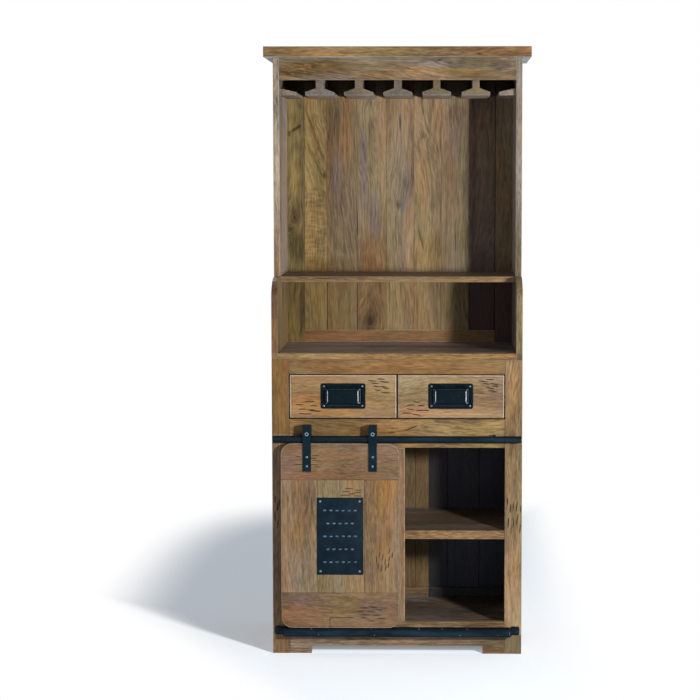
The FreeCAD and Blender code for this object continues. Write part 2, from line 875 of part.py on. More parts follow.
def carcass_nodes():
    """Boards that stand still."""
    half = inner_half
    rack_front_y = hutch_front_y + fascia_board_depth
    rack_floor = fascia_underside + rack_board_raise
    divider_top = drawer_bay_floor - deck_board
    nodes = {
        "base_side_left": base_side(-1),
        "base_side_right": base_side(1),
        "stile_left": with_track_holes(stile(-half_body, -stile_inner_x, 0, counter_underside)),
        "stile_right": with_track_holes(stile(stile_inner_x, half_body, 0, counter_underside)),
        "stile_centre": stile(-half_centre_stile, half_centre_stile, bottom_rail_top, mid_rail_underside),
        "frame_rail_top": frame_rail(drawer_bay_top, counter_underside),
        "frame_rail_mid": frame_rail(mid_rail_underside, drawer_bay_floor),
        "frame_rail_bottom": with_track_holes(bottom_rail()),
        "base_floor": block(-half, half, frame_back_y, inner_back_y, floor_underside, floor_top),
        "base_divider": block(
            -half_divider, half_divider, frame_back_y, inner_back_y, floor_top, divider_top
        ),
        "shelf_left": mid_shelf(-1),
        "shelf_right": mid_shelf(1),
        "drawer_deck": block(-half, half, frame_back_y, inner_back_y, divider_top, drawer_bay_floor),
        "drawer_guides": drawer_guides(),
        "base_back_panel": base_back(),
        "back_floor_strips": back_floor_strips(),
        "counter_board": board(-half, half, front_y, back_y, counter_underside, counter_top),
        "hutch_side_left": board(-half_body, -half, hutch_front_y, back_y, hutch_shelf_top, cornice_underside),
        "hutch_side_right": board(half, half_body, hutch_front_y, back_y, hutch_shelf_top, cornice_underside),
        "hutch_shelf": board(-half, half, hutch_front_y, inner_back_y, hutch_shelf_underside, hutch_shelf_top),
        "fascia_board": board(-half, half, hutch_front_y, rack_front_y, fascia_underside, cornice_underside),
        "cornice_board": board(
            -half_body - cornice_side_overhang, half_body + cornice_side_overhang,
            hutch_front_y - cornice_front_overhang, back_y, cornice_underside,
            cornice_underside + cornice_board_height,
        ),
        "hutch_back_planks": hutch_back_planks(),
        "back_stiles": back_stiles(),
        "back_bottom_rail": board(
            -back_stile_inner_x, back_stile_inner_x, inner_back_y, back_y, counter_top,
            counter_top + back_rail_height,
        ),
        "rack_board": block(-half, half, rack_front_y, inner_back_y, rack_floor, rack_floor + rack_board_height),
        "rack_half_slats": rack_half_slats(),
    }
    for number in range(1, slat_count + 1):
        nodes[f"rack_slat_{number}"] = rack_slat(number)
    return nodes


def steel_nodes():
    """Rail and track on the carcass."""
    return {
        "door_rail": door_rail(),
        "rail_standoffs": rail_standoffs(),
        "rail_stops": rail_stops(),
        "floor_track": floor_track(),
        "track_screws": track_screws(),
    }


def door_nodes():
    """Door, its plate, hangers, bolts and pins, and the two rollers."""
    nodes = door_boards()
    nodes["sign_plate"] = sign_plate()
    nodes["door_screws"] = door_screws()
    nodes["axle_bolts"] = axle_bolts()
    nodes["guide_pins"] = guide_pins()
    for side, x in hanger_places.items():
        nodes[f"hanger_{side}"] = hanger(x)
        nodes[f"roller_{side}"] = roller(x)
    return nodes


def drawer_nodes():
    """Both drawers."""
    nodes = {}
    for side, sign in (("left", -1), ("right", 1)):
        nodes[f"drawer_{side}_front"] = drawer_front(sign)
        nodes[f"drawer_{side}_frame"] = drawer_frame(sign)
        nodes[f"drawer_{side}_bottom"] = drawer_bottom(sign)
        nodes[f"drawer_{side}_pull"] = drawer_pull(sign)
        nodes[f"drawer_{side}_rivets"] = pull_rivets(sign)
    return nodes


def main():
    """Write one STEP file for each node."""
    os.makedirs("parts", exist_ok=True)
    nodes = {}
    for part_nodes in (carcass_nodes(), steel_nodes(), door_nodes(), drawer_nodes()):
        nodes.update(part_nodes)
    for name, shape in nodes.items():
        shape.exportStep(f"parts/{name}.step")
    print(len(nodes), "nodes")


main()
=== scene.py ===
"""Bar cabinet: wood, steel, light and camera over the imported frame."""

import functools
import math
import random

import bmesh
import bpy
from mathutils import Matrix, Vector


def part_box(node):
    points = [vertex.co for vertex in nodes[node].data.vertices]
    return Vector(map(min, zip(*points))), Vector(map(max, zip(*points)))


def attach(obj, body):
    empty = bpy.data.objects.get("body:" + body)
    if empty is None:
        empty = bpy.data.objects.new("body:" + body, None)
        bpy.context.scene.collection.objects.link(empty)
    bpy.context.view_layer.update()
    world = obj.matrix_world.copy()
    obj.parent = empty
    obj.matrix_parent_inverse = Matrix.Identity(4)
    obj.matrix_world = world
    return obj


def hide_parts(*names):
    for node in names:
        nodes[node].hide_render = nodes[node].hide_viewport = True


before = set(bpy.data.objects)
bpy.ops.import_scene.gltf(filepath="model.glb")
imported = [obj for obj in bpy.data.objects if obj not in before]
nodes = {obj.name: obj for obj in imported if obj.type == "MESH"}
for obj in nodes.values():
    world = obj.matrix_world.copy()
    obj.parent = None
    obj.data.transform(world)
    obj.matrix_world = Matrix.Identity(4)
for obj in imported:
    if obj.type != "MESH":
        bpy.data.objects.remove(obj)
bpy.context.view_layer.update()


def srgb(*parts):
    """Scene colour of a colour written in 0 to 255."""
    shares = [part / 255 for part in parts]
    linear = (share / 12.92 if share <= 0.04045 else ((share + 0.055) / 1.055) ** 2.4 for share in shares)
    return (*linear, 1.0)


def operator(operation, swapped=False):
    """Method that makes a math node of a sum."""
    def sum_node(self, other=0.0):
        a, b = (other, self) if swapped else (self, other)
        return self.net.math(operation, a, b)
    return sum_node


class Value:
    """Output of a node, for plain sums with numbers and other outputs."""
    __add__ = __radd__ = operator("ADD")
    __sub__ = operator("SUBTRACT")
    __rsub__ = operator("SUBTRACT", True)
    __mul__ = operator("MULTIPLY")
    __truediv__ = operator("DIVIDE")
    __pow__ = operator("POWER")
    __abs__ = operator("ABSOLUTE")
    __gt__ = operator("GREATER_THAN")
    __lt__ = operator("LESS_THAN")

    def __init__(self, net, socket):
        self.net = net
        self.socket = socket


class Net:
    """Short names for the nodes of a material, a light or the room."""

    def __init__(self, owner):
        self.owner = owner
        owner.use_nodes = True
        self.tree = owner.node_tree
        self.tree.nodes.clear()

    def add(self, kind, inputs=(), output=0, **settings):
        """Output of a new node. inputs are by index or name."""
        node = self.tree.nodes.new("ShaderNode" + kind)
        for key, value in settings.items():
            setattr(node, key, value)
        for key, value in dict(inputs).items():
            if isinstance(value, Value):
                self.tree.links.new(value.socket, node.inputs[key])
            else:
                node.inputs[key].default_value = value
        return Value(self, node.outputs[output])

    def math(self, operation, a, b=0.0):
        """Math node."""
        return self.add("Math", {0: a, 1: b}, operation=operation)

    def most(self, *values):
        """Highest of some values."""
        return functools.reduce(lambda a, b: self.math("MAXIMUM", a, b), values)

    def least(self, a, b):
        """Lower of two values."""
        return self.math("MINIMUM", a, b)

    def vector(self, operation, a, b=(0, 0, 0)):
        """Vector math node."""
        return self.add("VectorMath", {0: a, 1: b}, operation=operation)

    def split(self, vector):
        """The three parts of a vector."""
        node = self.add("SeparateXYZ", {0: vector}).socket.node
        return [Value(self, part) for part in node.outputs]

    def join(self, x, y, z):
        """Vector of three parts."""
        return self.add("CombineXYZ", {0: x, 1: y, 2: z})

    def noise(self, vector, scale, detail, rough):
        """Noise from 0 to 1."""
        inputs = {"Vector": vector, "Scale": scale, "Detail": detail, "Roughness": rough}
        return self.add("TexNoise", inputs)

    def grain(self, vector, across, along, detail, rough):
        """Noise with one scale across the wood and another along it."""
        return self.noise(self.vector("MULTIPLY", vector, (across, across, along)), 1.0, detail, rough)

    def span(self, value, low, high, to_low=0.0, to_high=1.0, smooth=False):
        """Value mapped from one range to another and clamped."""
        kind = "SMOOTHSTEP" if smooth else "LINEAR"
        inputs = {0: value, 1: low, 2: high, 3: to_low, 4: to_high}
        return self.add("MapRange", inputs, interpolation_type=kind, clamp=True)

    def ramp(self, value, stops, kind="LINEAR"):
        """Colour ramp through (place, colour) stops."""
        out = self.add("ValToRGB", {0: value})
        bands = out.socket.node.color_ramp
        bands.interpolation = kind
        for number, (place, colour) in enumerate(stops):
            stop = bands.elements[number] if number < 2 else bands.elements.new(place)
            stop.position = place
            stop.color = colour
        return out

    def mix(self, share, a, b, blend="MIX"):
        """Mix of two colours."""
        return self.add("Mix", {0: share, 6: a, 7: b}, 2, data_type="RGBA", blend_type=blend)

    def tint(self, colour, share, factor):
        """Colour times a factor, over a share of the surface."""
        return self.mix(share, colour, (*factor, 1.0), "MULTIPLY")

    def stain(self, colour, share, tone):
        """Colour with another written colour over a share of the surface."""
        return self.mix(share, colour, srgb(*tone))

    def plain_sight(self):
        """1 for what is seen, also in gloss or through glass, and 0 for other light."""
        kinds = ("Camera", "Glossy", "Transmission")
        return self.most(*(self.add("LightPath", output=f"Is {kind} Ray") for kind in kinds))

    def surface(self, colour, rough, height, bump, bump_depth, **sockets):
        """Principled surface with small bumps, joined to the output."""
        normal = self.add("Bump", {"Strength": bump, "Distance": bump_depth, "Height": height})
        inputs = {"Base Color": colour, "Roughness": rough, "Normal": normal}
        inputs.update({key.replace("_", " "): value for key, value in sockets.items()})
        return self.finish(self.add("BsdfPrincipled", inputs))

    def finish(self, surface, kind="OutputMaterial"):
        """Join a surface to the output. Returns what the net belongs to."""
        output = self.tree.nodes.new("ShaderNode" + kind)
        self.tree.links.new(surface.socket, output.inputs[0])
        return self.owner


def new_material(name):
    """Net of a new material, with the surface's point and its three parts."""
    net = Net(bpy.data.materials.new(name))
    point = net.add("TexCoord", output="Object")
    return net, point, net.split(point)


def shades(mean, contrast):
    """Dark, low, middle and light stops round a wood's mean colour."""
    out = []
    for factors in ((0.5, 0.47, 0.42), (0.86, 0.85, 0.83), (1.05, 1.05, 1.04), (1.27, 1.29, 1.33)):
        parts = (min(value * (1 + (part - 1) * contrast), 250) for value, part in zip(mean, factors))
        out.append(srgb(*parts))
    return out


def edge_closeness(net, point, low, high):
    """How near a surface point is to an edge of its board, in metres below 0."""
    off = net.vector("ABSOLUTE", net.vector("SUBTRACT", point, (low + high) / 2))
    x, y, z = net.split(net.vector("SUBTRACT", off, (high - low) / 2))
    return net.most(net.least(x, y), net.least(net.most(x, y), z))


def rounded_closeness(net, parts, low_x, high_x, low_z, high_z, radius):
    """How near a point is to a rounded outline in the front plane, in metres below 0."""
    past_x = abs(parts[0] - (low_x + high_x) / 2) - ((high_x - low_x) / 2 - radius)
    past_z = abs(parts[2] - (low_z + high_z) / 2) - ((high_z - low_z) / 2 - radius)
    outside = net.math("SQRT", net.most(past_x, 0.0) ** 2 + net.most(past_z, 0.0) ** 2)
    return outside + net.least(net.most(past_x, past_z), 0.0) - radius


def knot_fields(net, across, along, knots):
    """Sideways pull of the grain and darkness of some knots."""
    shift = 0.0
    dark = []
    for knot_across, knot_along, size in knots:
        near = across - knot_across
        square = near * near + ((along - knot_along) * 0.62) ** 2
        pull = net.math("EXPONENT", square * (-0.16 / size ** 2))
        shift = near * pull * -0.8 + shift
        ragged = net.noise(net.join(across, along, size), 0.9 / size, 2.0, 0.6)
        distance = (ragged - 0.5) * (size * 1.1) + net.math("SQRT", square)
        ring = net.math("SINE", distance * (11.0 / size))
        core = net.span(distance, size * 0.7, size * 0.25, smooth=True)
        border = net.span(abs(distance - size * 0.95), size * 0.36, 0.0)
        body = net.span(distance, size * 1.2, size * 0.8) * net.span(ring, -1.0, 1.0, 0.3, 0.75)
        halo = net.span(distance, size * 2.6, size * 0.9, 0.0, 0.42, smooth=True)
        dark += [core, border * 0.8, body, halo]
    return shift, dark


def change(tone, other):
    """Factors that turn one written colour into another."""
    return [new / old for old, new in zip(srgb(*tone)[:3], srgb(*other)[:3])]


def turned(normals, side):
    """1 on the faces that look to one side, such as "-y", else 0."""
    return normals["xyz".index(side[1])] * (-1.0 if side[0] == "-" else 1.0) > 0.4


def inside_span(value, low, high):
    """1 between two limits, else 0."""
    return (value > low) * (value < high)


def patch_field(net, across, along, patch, ragged):
    """1 inside a soft ragged ellipse, which may lean, else 0."""
    middle, run, reach, run_reach, _, *lean = patch
    off_along = along - run
    off_across = across - middle
    if lean:
        off_across = off_along * -lean[0] + off_across
    off = net.math("SQRT", abs(off_across / reach) ** 2 + abs(off_along / run_reach) ** 2)
    return net.span((ragged - 0.5) * 1.5 + off, 1.15, 0.5, smooth=True)


def wood(name, tone, seed, node, axes="xyz", faces=(), figure=0.5, knots=(), planks=(), zones=(), patches=(),
         seams=(), leans=(), curls=(), flecks=(), zone_side="-y", contrast=1.0, carved=None, hollow=0.92,
         warmth=1.0, bloom=1.0, flow=0.62, tints=(), rim=0.22, rim_reach=0.0, rim_colour=(206, 186, 156),
         outline=None):
    """Oiled board. axes run across the face, through it and along the grain."""
    net, point, parts = new_material(name)
    normals = net.split(net.add("TexCoord", output="Normal"))
    across, through, along = (parts["xyz".index(axis)] for axis in axes)
    place = net.vector("ADD", net.join(across, through, along), (seed * 3.17, seed * 1.91, seed * 5.83))
    if planks:
        plank = sum(across > joint for joint in planks)
        place = net.vector("ADD", place, net.join(plank * 1.37, 0.0, plank * 2.71))

    # The grain wanders along the board, leans in places and bends round each knot
    shift, knot_dark = knot_fields(net, across, along, knots)
    wander = net.grain(place, 3.5, 1.3, 1.0, 0.5)
    ripple = net.grain(place, 13.0, 4.2, 2.0, 0.5)
    shift = (wander - 0.5) * (0.05 + 0.1 * figure) + shift
    shift = (ripple - 0.5) * (0.006 + 0.012 * figure) + shift
    for start, end, low, high, slope in leans:
        run = net.span(along, low, high, 0.0, (high - low) * slope)
        shift = inside_span(across, start, end) * run + shift
    moved = net.vector("ADD", place, net.join(shift, shift * 0.4, 0.0))

    # Bands, streaks, fibres and growth lines
    band = net.grain(moved, 14.0, 1.4, 2.0, 0.5)
    streak = net.grain(moved, 120.0, 11.0 * flow, 3.0, 0.55)
    fine = net.grain(moved, 420.0, 42.0 * flow, 3.0, 0.6)
    pore = net.grain(moved, 900.0, 42.0 * flow, 1.0, 0.5)
    dash = net.grain(moved, 230.0, 9.0, 1.0, 0.5)
    mottle = net.grain(place, 9.0, 5.0, 3.0, 0.55)
    swirl = net.grain(moved, 10.0, 1.0, 2.0, 0.45)
    grit = net.grain(moved, 300.0, 62.0 * flow, 2.0, 0.5)
    contour = net.math("SINE", swirl * (math.tau * 24.0))
    vein = net.span(contour, 0.45, 1.0) * net.span(mottle, 0.5, 0.66)
    value = 0.5
    fields = ((band, 0.56), (streak, 0.4), (grit, 0.52), (fine, 0.5), (pore, 0.26), (mottle, 0.5))
    for field, weight in fields:
        value = (field - 0.5) * weight + value
    value = contour * (-0.032 * figure) + value
    value = vein * (-0.13 * figure) + value
    for start, end, low, high, strength in curls:
        wave = net.grain(moved, 34.0, 150.0, 1.0, 0.5) - 0.5
        where = inside_span(across, start, end) * net.span(along, low - 0.05, low + 0.05, smooth=True)
        where = where * net.span(along, high + 0.05, high - 0.05, smooth=True)
        value = wave * where * strength + value
    colour = net.ramp(value, list(zip((0.14, 0.4, 0.56, 0.86), shades(tone, contrast))))
    # Faces that look one way get their own colour: edge tones, and on some boards a painted sheen,
    # reflection or shade
    for side, other in faces:
        colour = net.tint(colour, turned(normals, side), change(tone, other))

    # Warm and olive patches, a greyish bloom, darker pores and knots
    hue = net.grain(moved, 12.0, 1.9, 2.0, 0.5)
    warm = (1.0 + 0.13 * warmth, 1.0 - 0.05 * warmth, 1.0 - 0.2 * warmth)
    colour = net.tint(colour, net.span(hue, 0.5, 0.66), warm)
    colour = net.tint(colour, net.span(hue, 0.48, 0.34), (0.93, 1.0, 0.9))
    cloud = net.grain(place, 9.0, 2.6, 3.0, 0.6)
    colour = net.tint(colour, net.span(cloud, 0.48, 0.64), (1.0 - 0.03 * bloom, 1.0, 1.0 + 0.15 * bloom))
    pores = net.span(pore, 0.63, 0.74)
    depth_share = min(contrast, 1.0)
    colour = net.stain(colour, pores * (0.35 * depth_share), (60, 42, 28))
    dashes = net.span(dash, 0.62, 0.74)
    colour = net.stain(colour, dashes * ((0.12 + 0.26 * figure) * depth_share), (66, 48, 32))
    if tints:
        stops = [((number + 0.01) / len(tints), (*tint, 1.0)) for number, tint in enumerate(tints)]
        colour = net.mix(1.0, colour, net.ramp((plank + 0.5) / len(tints), stops, "CONSTANT"), "MULTIPLY")
    front = turned(normals, zone_side)
    for patch in patches:
        ragged = streak if min(patch[2:4]) < 0.012 else cloud
        colour = net.tint(colour, patch_field(net, across, along, patch, ragged) * front, patch[4])
    for patch in flecks:
        spots = net.span(net.grain(moved, 150.0, 46.0, 2.0, 0.5), 0.52, 0.62)
        spots = spots * (patch_field(net, across, along, patch, cloud) * front)
        colour = net.stain(colour, spots * 0.55, patch[4])
    if knots:
        colour = net.stain(colour, net.most(*knot_dark) * 0.82, (46, 32, 20))

    # Edges get a paler rim, partly wear and partly a painted highlight where the rounded edges catch the
    # light, and a darker band just inside them
    low_corner, high_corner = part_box(node)
    if outline is None:
        edge = edge_closeness(net, point, low_corner, high_corner)
    else:
        edge = rounded_closeness(net, parts, *outline)
    wear_and_highlight = net.noise(point, 70.0, 3.0, 0.6) * 0.004 + (edge + rim_reach)
    colour = net.stain(colour, net.span(wear_and_highlight, -0.009, 0.0, 0.0, 0.14), (64, 46, 30))
    colour = net.stain(colour, net.span(wear_and_highlight, -0.0006, 0.0018, 0.0, rim), rim_colour)

    # Zones of painted light and shade, seams between boards and the dark hollows of carved marks
    for start, end, low, high, factor in zones:
        inside = inside_span(across, start, end) * inside_span(along, low, high)
        colour = net.tint(colour, inside * front, factor)
    height = pores * -0.35 + (streak * 0.5 + fine * 0.5)
    for axis, seam, low, high, *strength in seams:
        side, run = parts[::2] if axis == "x" else parts[::-2]
        line = net.span(abs(side - seam), 0.0019, 0.0008) * inside_span(run, low, high)
        colour = net.stain(colour, line * (strength[0] if strength else 0.7), (36, 26, 20))
        height = line * -0.8 + height
    if carved is not None:
        depth = parts[1] - carved
        inner = net.span(depth, 0.0001, 0.0005) * net.span(depth, 0.006, 0.004)
        colour = net.stain(colour, inner * hollow, (38, 30, 30))
    height = net.grain(place, 20.0, 6.0, 1.0, 0.5) * 2.4 + height
    gloss = net.span(streak + mottle, 0.6, 1.4, 0.4, 0.6)
    return net.surface(colour, gloss, height, 0.5, 0.0005, Specular_IOR_Level=0.22)


def off_centre(net, parts, x, z):
    """Distance of a point from (x, z) in the front plane."""
    off = net.vector("SUBTRACT", net.join(parts[0], 0.0, parts[2]), (x, 0.0, z))
    return net.add("VectorMath", {0: off}, "Value", operation="LENGTH")


def black_steel(name, seed, rough=0.3, gloss_level=0.09, raised=None, core=None, glints=(), wear_and_highlight=(),
                depth=1.0):
    """Blue-black powder coat with faint orange peel and rubbed spots, and where asked a painted light band,
    painted glints and painted highlight lines.
    """
    net, point, parts = new_material(name)
    place = net.vector("ADD", point, (seed * 1.3, seed * 2.1, seed * 0.7))
    cloud = net.noise(place, 28.0, 4.0, 0.6)
    grit = net.noise(place, 900.0, 2.0, 0.6)
    rub = net.noise(place, 140.0, 5.0, 0.7)
    dark, light = ([part * depth for part in tone] for tone in ((8, 24, 35), (18, 38, 50)))
    colour = net.ramp(cloud, [(0.3, srgb(*dark)), (0.7, srgb(*light))])
    colour = net.stain(colour, net.span(rub, 0.6, 0.75, 0.0, 0.28), (58, 86, 108))
    # core: a painted light band along a bar's middle, with painted shade on its top and bottom edges
    if core is not None:
        low, high = core
        off = abs(parts[2] - (low + high) / 2)
        share = net.span(off, (high - low) / 2, (high - low) * 0.14, smooth=True)
        colour = net.tint(colour, 1.0 - share, (0.12, 0.12, 0.14))
        drift = net.span(net.grain(place, 9.0, 60.0, 2.0, 0.5), 0.45, 0.65)
        colour = net.stain(colour, share * (drift * 0.3), (44, 72, 92))
    for x, z, radius in glints:
        off = rub * (radius * 1.2) + off_centre(net, parts, x, z)
        colour = net.stain(colour, net.span(off, radius * 1.7, radius * 1.1, 0.0, 0.9), (186, 196, 200))
    # Painted highlight lines, broken by the rubbed noise
    for axis, middle, low, high, wide, strength in wear_and_highlight:
        side, run = parts[::2] if axis == "x" else parts[::-2]
        line = net.span(abs(side - middle), wide, wide * 0.3)
        line = line * net.span(abs(run - (low + high) / 2), (high - low) / 2, (high - low) * 0.36)
        line = line * net.span(rub, 0.25, 0.5, 0.55 * strength, strength)
        colour = net.stain(colour, line, (214, 228, 240))
    # Tops of raised bars are paler: rubbed wear and a painted highlight
    if raised is not None:
        top = net.span(parts[1], raised + 0.0001, raised - 0.0003)
        colour = net.stain(colour, top * net.span(rub, 0.42, 0.62, 0.25, 0.85), (112, 142, 166))
    gloss = net.span(rub, 0.3, 0.7, rough - 0.05, rough + 0.09)
    return net.surface(colour, gloss, grit * 0.4 + cloud, 0.3, 0.0003, Specular_IOR_Level=gloss_level)


def bare_steel(name, dark=(70, 86, 102), light=(140, 156, 170), rings=()):
    """Bright screw, rivet and roller steel. rings are painted bright rings, painted highlights, given as (x,
    z, radius, width, colour).
    """
    net, point, parts = new_material(name)
    cloud = net.noise(point, 400.0, 4.0, 0.6)
    fine = net.noise(point, 1800.0, 2.0, 0.5)
    colour = net.ramp(cloud, [(0.3, srgb(*dark)), (0.7, srgb(*light))])
    for x, z, radius, width, tone in rings:
        off = abs(off_centre(net, parts, x, z) - radius)
        colour = net.stain(colour, net.span(off, width, width * 0.4), tone)
    return net.surface(colour, net.span(cloud, 0.3, 0.7, 0.24, 0.38), fine, 0.3, 0.0002, Metallic=0.85)


# Axes across a board's face, through it and along its grain
FACE_X = "zyx"
TOP_X = "yzx"
SIDE_Z = "yxz"
SIDE_Y = "zxy"
DEPTH_Y = "xzy"

BACK_JOINTS = (-0.2284, -0.1334, -0.0425, 0.0449, 0.1298, 0.2171)
BASE_BACK_JOINTS = (-0.2514, -0.1509, -0.0503, 0.0503, 0.0915, 0.1509, 0.2514)
DOOR_OUTLINE = (-0.342, 0.007, 0.0843, 0.6358, 0.032)

# Heights of the niche, of the rack's shade and of the seams beside the planks
NICHE = (0.9, 1.112)
RACK = (1.668, 1.8)
SEAM = (0.93, 1.78)

# Colours of the boards, from 0 to 255
# INNER is grey: on the hutch sides' inner faces it is a painted sheen of grazing light, and the rack slats
# take it as their tone
INNER = (154, 144, 134)
SIDE = (138, 113, 82)
EDGE = (126, 104, 74)
BACK = (130, 110, 80)
SHEEN = (164, 168, 178)
SHELF = (104, 89, 76)
SHELF_EDGE = (150, 116, 80)
DOOR_WARM = (132, 104, 78)
INSIDE = (100, 82, 58)
RAW = (140, 118, 88)
SLAT_FACES = ((122, 112, 104), (124, 111, 92), (122, 111, 101), (118, 104, 80), (124, 109, 83))

# Factors on those colours: the niche, rack and bay factors are painted shade, IN_DOOR_SHADOW a painted
# bluish shadow and the SHEEN factors painted sheen
IN_DOOR_SHADOW = (1.28, 1.42, 2.4)
NICHE_SHADE = (0.84, 0.8, 0.64)
NICHE_STILE_SHADE = (0.62, 0.56, 0.36)
NICHE_END_SHADE = (0.22, 0.14, 0.18)
RACK_SHADE = (0.35, 0.34, 0.36)
BAY_EDGE_SHADE = (0.18, 0.24, 0.52)
BAY_UPPER_SHADE = (0.24, 0.36, 1.2)
BAY_LOWER_SHADE = (0.27, 0.46, 1.7)
SHEEN_LEFT = (1.8, 2.35, 3.7)
SHEEN_RIGHT = (1.18, 1.48, 2.3)
LILAC = (0.92, 0.95, 1.45)
ORANGE = (1.1, 0.97, 0.82)
DARK = (0.42, 0.4, 0.42)
BACK_TINTS = (
    (1.24, 1.24, 0.98), (0.98, 0.93, 0.88), (1.04, 1.04, 1.16), (1.04, 1.07, 1.22), (1.18, 1.16, 1.24),
    (1.02, 1.04, 1.14), (0.76, 0.7, 0.84),
)
BASE_TINTS = (
    (1.0, 1.0, 1.0), (0.9, 0.9, 0.88), (1.08, 1.04, 1.0), (1.0, 1.0, 0.92), (1.05, 1.0, 0.86),
    (0.9, 0.95, 1.0), (1.0, 1.02, 1.0), (0.95, 0.98, 1.0),
)

# Patches are (across, along, reach across, reach along, factor), and some have a lean
CORNICE_PATCHES = (
    (1.776, -0.23, 0.006, 0.12, (1.22, 0.98, 0.66)), (1.779, 0.242, 0.003, 0.01, DARK),
    (1.786, -0.33, 0.02, 0.06, (0.8, 0.78, 0.72)),
)
FASCIA_PATCHES = (
    (1.737, -0.25, 0.036, 0.17, (0.5, 0.42, 0.22)), (1.74, 0.23, 0.04, 0.09, (0.72, 0.8, 0.74)),
    (1.745, 0.306, 0.016, 0.03, (0.7, 0.66, 0.8)), (1.751, 0.105, 0.008, 0.11, LILAC, -0.05),
    (1.743, -0.07, 0.01, 0.06, (0.9, 1.0, 0.8)), (1.728, 0.19, 0.007, 0.11, (1.4, 1.02, 0.62)),
    (1.732, 0.056, 0.006, 0.035, (1.45, 1.05, 0.75)), (1.76, -0.101, 0.004, 0.024, (1.45, 1.12, 0.95)),
    (1.762, 0.124, 0.003, 0.008, DARK), (1.722, -0.05, 0.01, 0.1, (1.0, 0.86, 0.66), 0.1),
)
APRON_PATCHES = (
    (0.01, 0.32, 0.06, 0.08, (0.6, 0.62, 0.56)), (0.02, -0.29, 0.03, 0.06, (1.02, 1.05, 1.12)),
    (0.001, -0.32, 0.006, 0.07, (1.15, 0.9, 0.8)), (0.045, 0.1, 0.012, 0.08, (1.05, 1.1, 1.3)),
    (0.045, -0.06, 0.015, 0.07, (0.86, 0.88, 0.66)), (0.091, 0.15, 0.01, 0.3, (0.86, 0.84, 0.72)),
)
# The broad darker patches low on the hutch back, at -0.26, -0.17 and 0.26 across, are painted shade in its
# lower corners
PLANK_PATCHES = (
    (-0.26, 1.13, 0.05, 0.05, (0.66, 0.62, 0.55)), (-0.093, 0.966, 0.014, 0.02, (0.5, 0.46, 0.46)),
    (-0.17, 1.14, 0.09, 0.04, (0.86, 0.8, 0.7)), (-0.221, 1.38, 0.008, 0.34, ORANGE),
    (-0.165, 1.55, 0.025, 0.12, ORANGE), (-0.2, 1.61, 0.016, 0.07, (0.72, 0.76, 0.7)),
    (-0.199, 1.41, 0.014, 0.1, LILAC), (-0.113, 1.44, 0.016, 0.15, (0.84, 0.86, 1.3)),
    (-0.08, 1.3, 0.016, 0.09, LILAC), (-0.132, 1.267, 0.003, 0.045, DARK),
    (-0.08, 1.17, 0.05, 0.07, (1.05, 0.93, 0.76)), (-0.052, 1.5, 0.01, 0.14, (1.14, 1.02, 0.9)),
    (0.001, 1.585, 0.0028, 0.034, DARK), (0.01, 1.322, 0.01, 0.02, (0.78, 0.8, 1.1)),
    (0.026, 1.295, 0.008, 0.05, ORANGE), (0.07, 1.4, 0.012, 0.12, ORANGE),
    (0.164, 1.52, 0.03, 0.07, (0.92, 0.97, 1.22)), (0.11, 1.18, 0.07, 0.06, (1.03, 0.95, 0.72)),
    (0.068, 1.22, 0.003, 0.05, DARK, -0.25), (0.176, 1.21, 0.003, 0.045, DARK),
    (0.178, 1.62, 0.03, 0.03, (0.78, 0.76, 0.8)), (-0.27, 1.56, 0.006, 0.1, (0.62, 0.58, 0.5), -0.37),
    (-0.268, 1.475, 0.006, 0.1, (0.66, 0.62, 0.5), -0.5), (0.228, 1.4, 0.014, 0.4, (0.7, 0.66, 0.8)),
    (0.26, 1.16, 0.04, 0.07, (0.66, 0.62, 0.66)),
)
BACK_STILE_PATCHES = (
    (-0.325, 1.2, 0.03, 0.06, (0.6, 0.6, 0.48)), (-0.325, 1.42, 0.02, 0.06, (1.25, 1.22, 1.1)),
    (-0.326, 1.567, 0.01, 0.014, (0.34, 0.32, 0.3), 1.4), (-0.345, 1.552, 0.008, 0.012, DARK),
    (-0.318, 1.6, 0.006, 0.05, (1.25, 1.15, 0.95), 0.4), (-0.325, 1.3, 0.018, 0.05, (0.72, 0.7, 0.62)),
    (-0.307, 1.0, 0.012, 0.1, (0.5, 0.48, 0.6)),
)

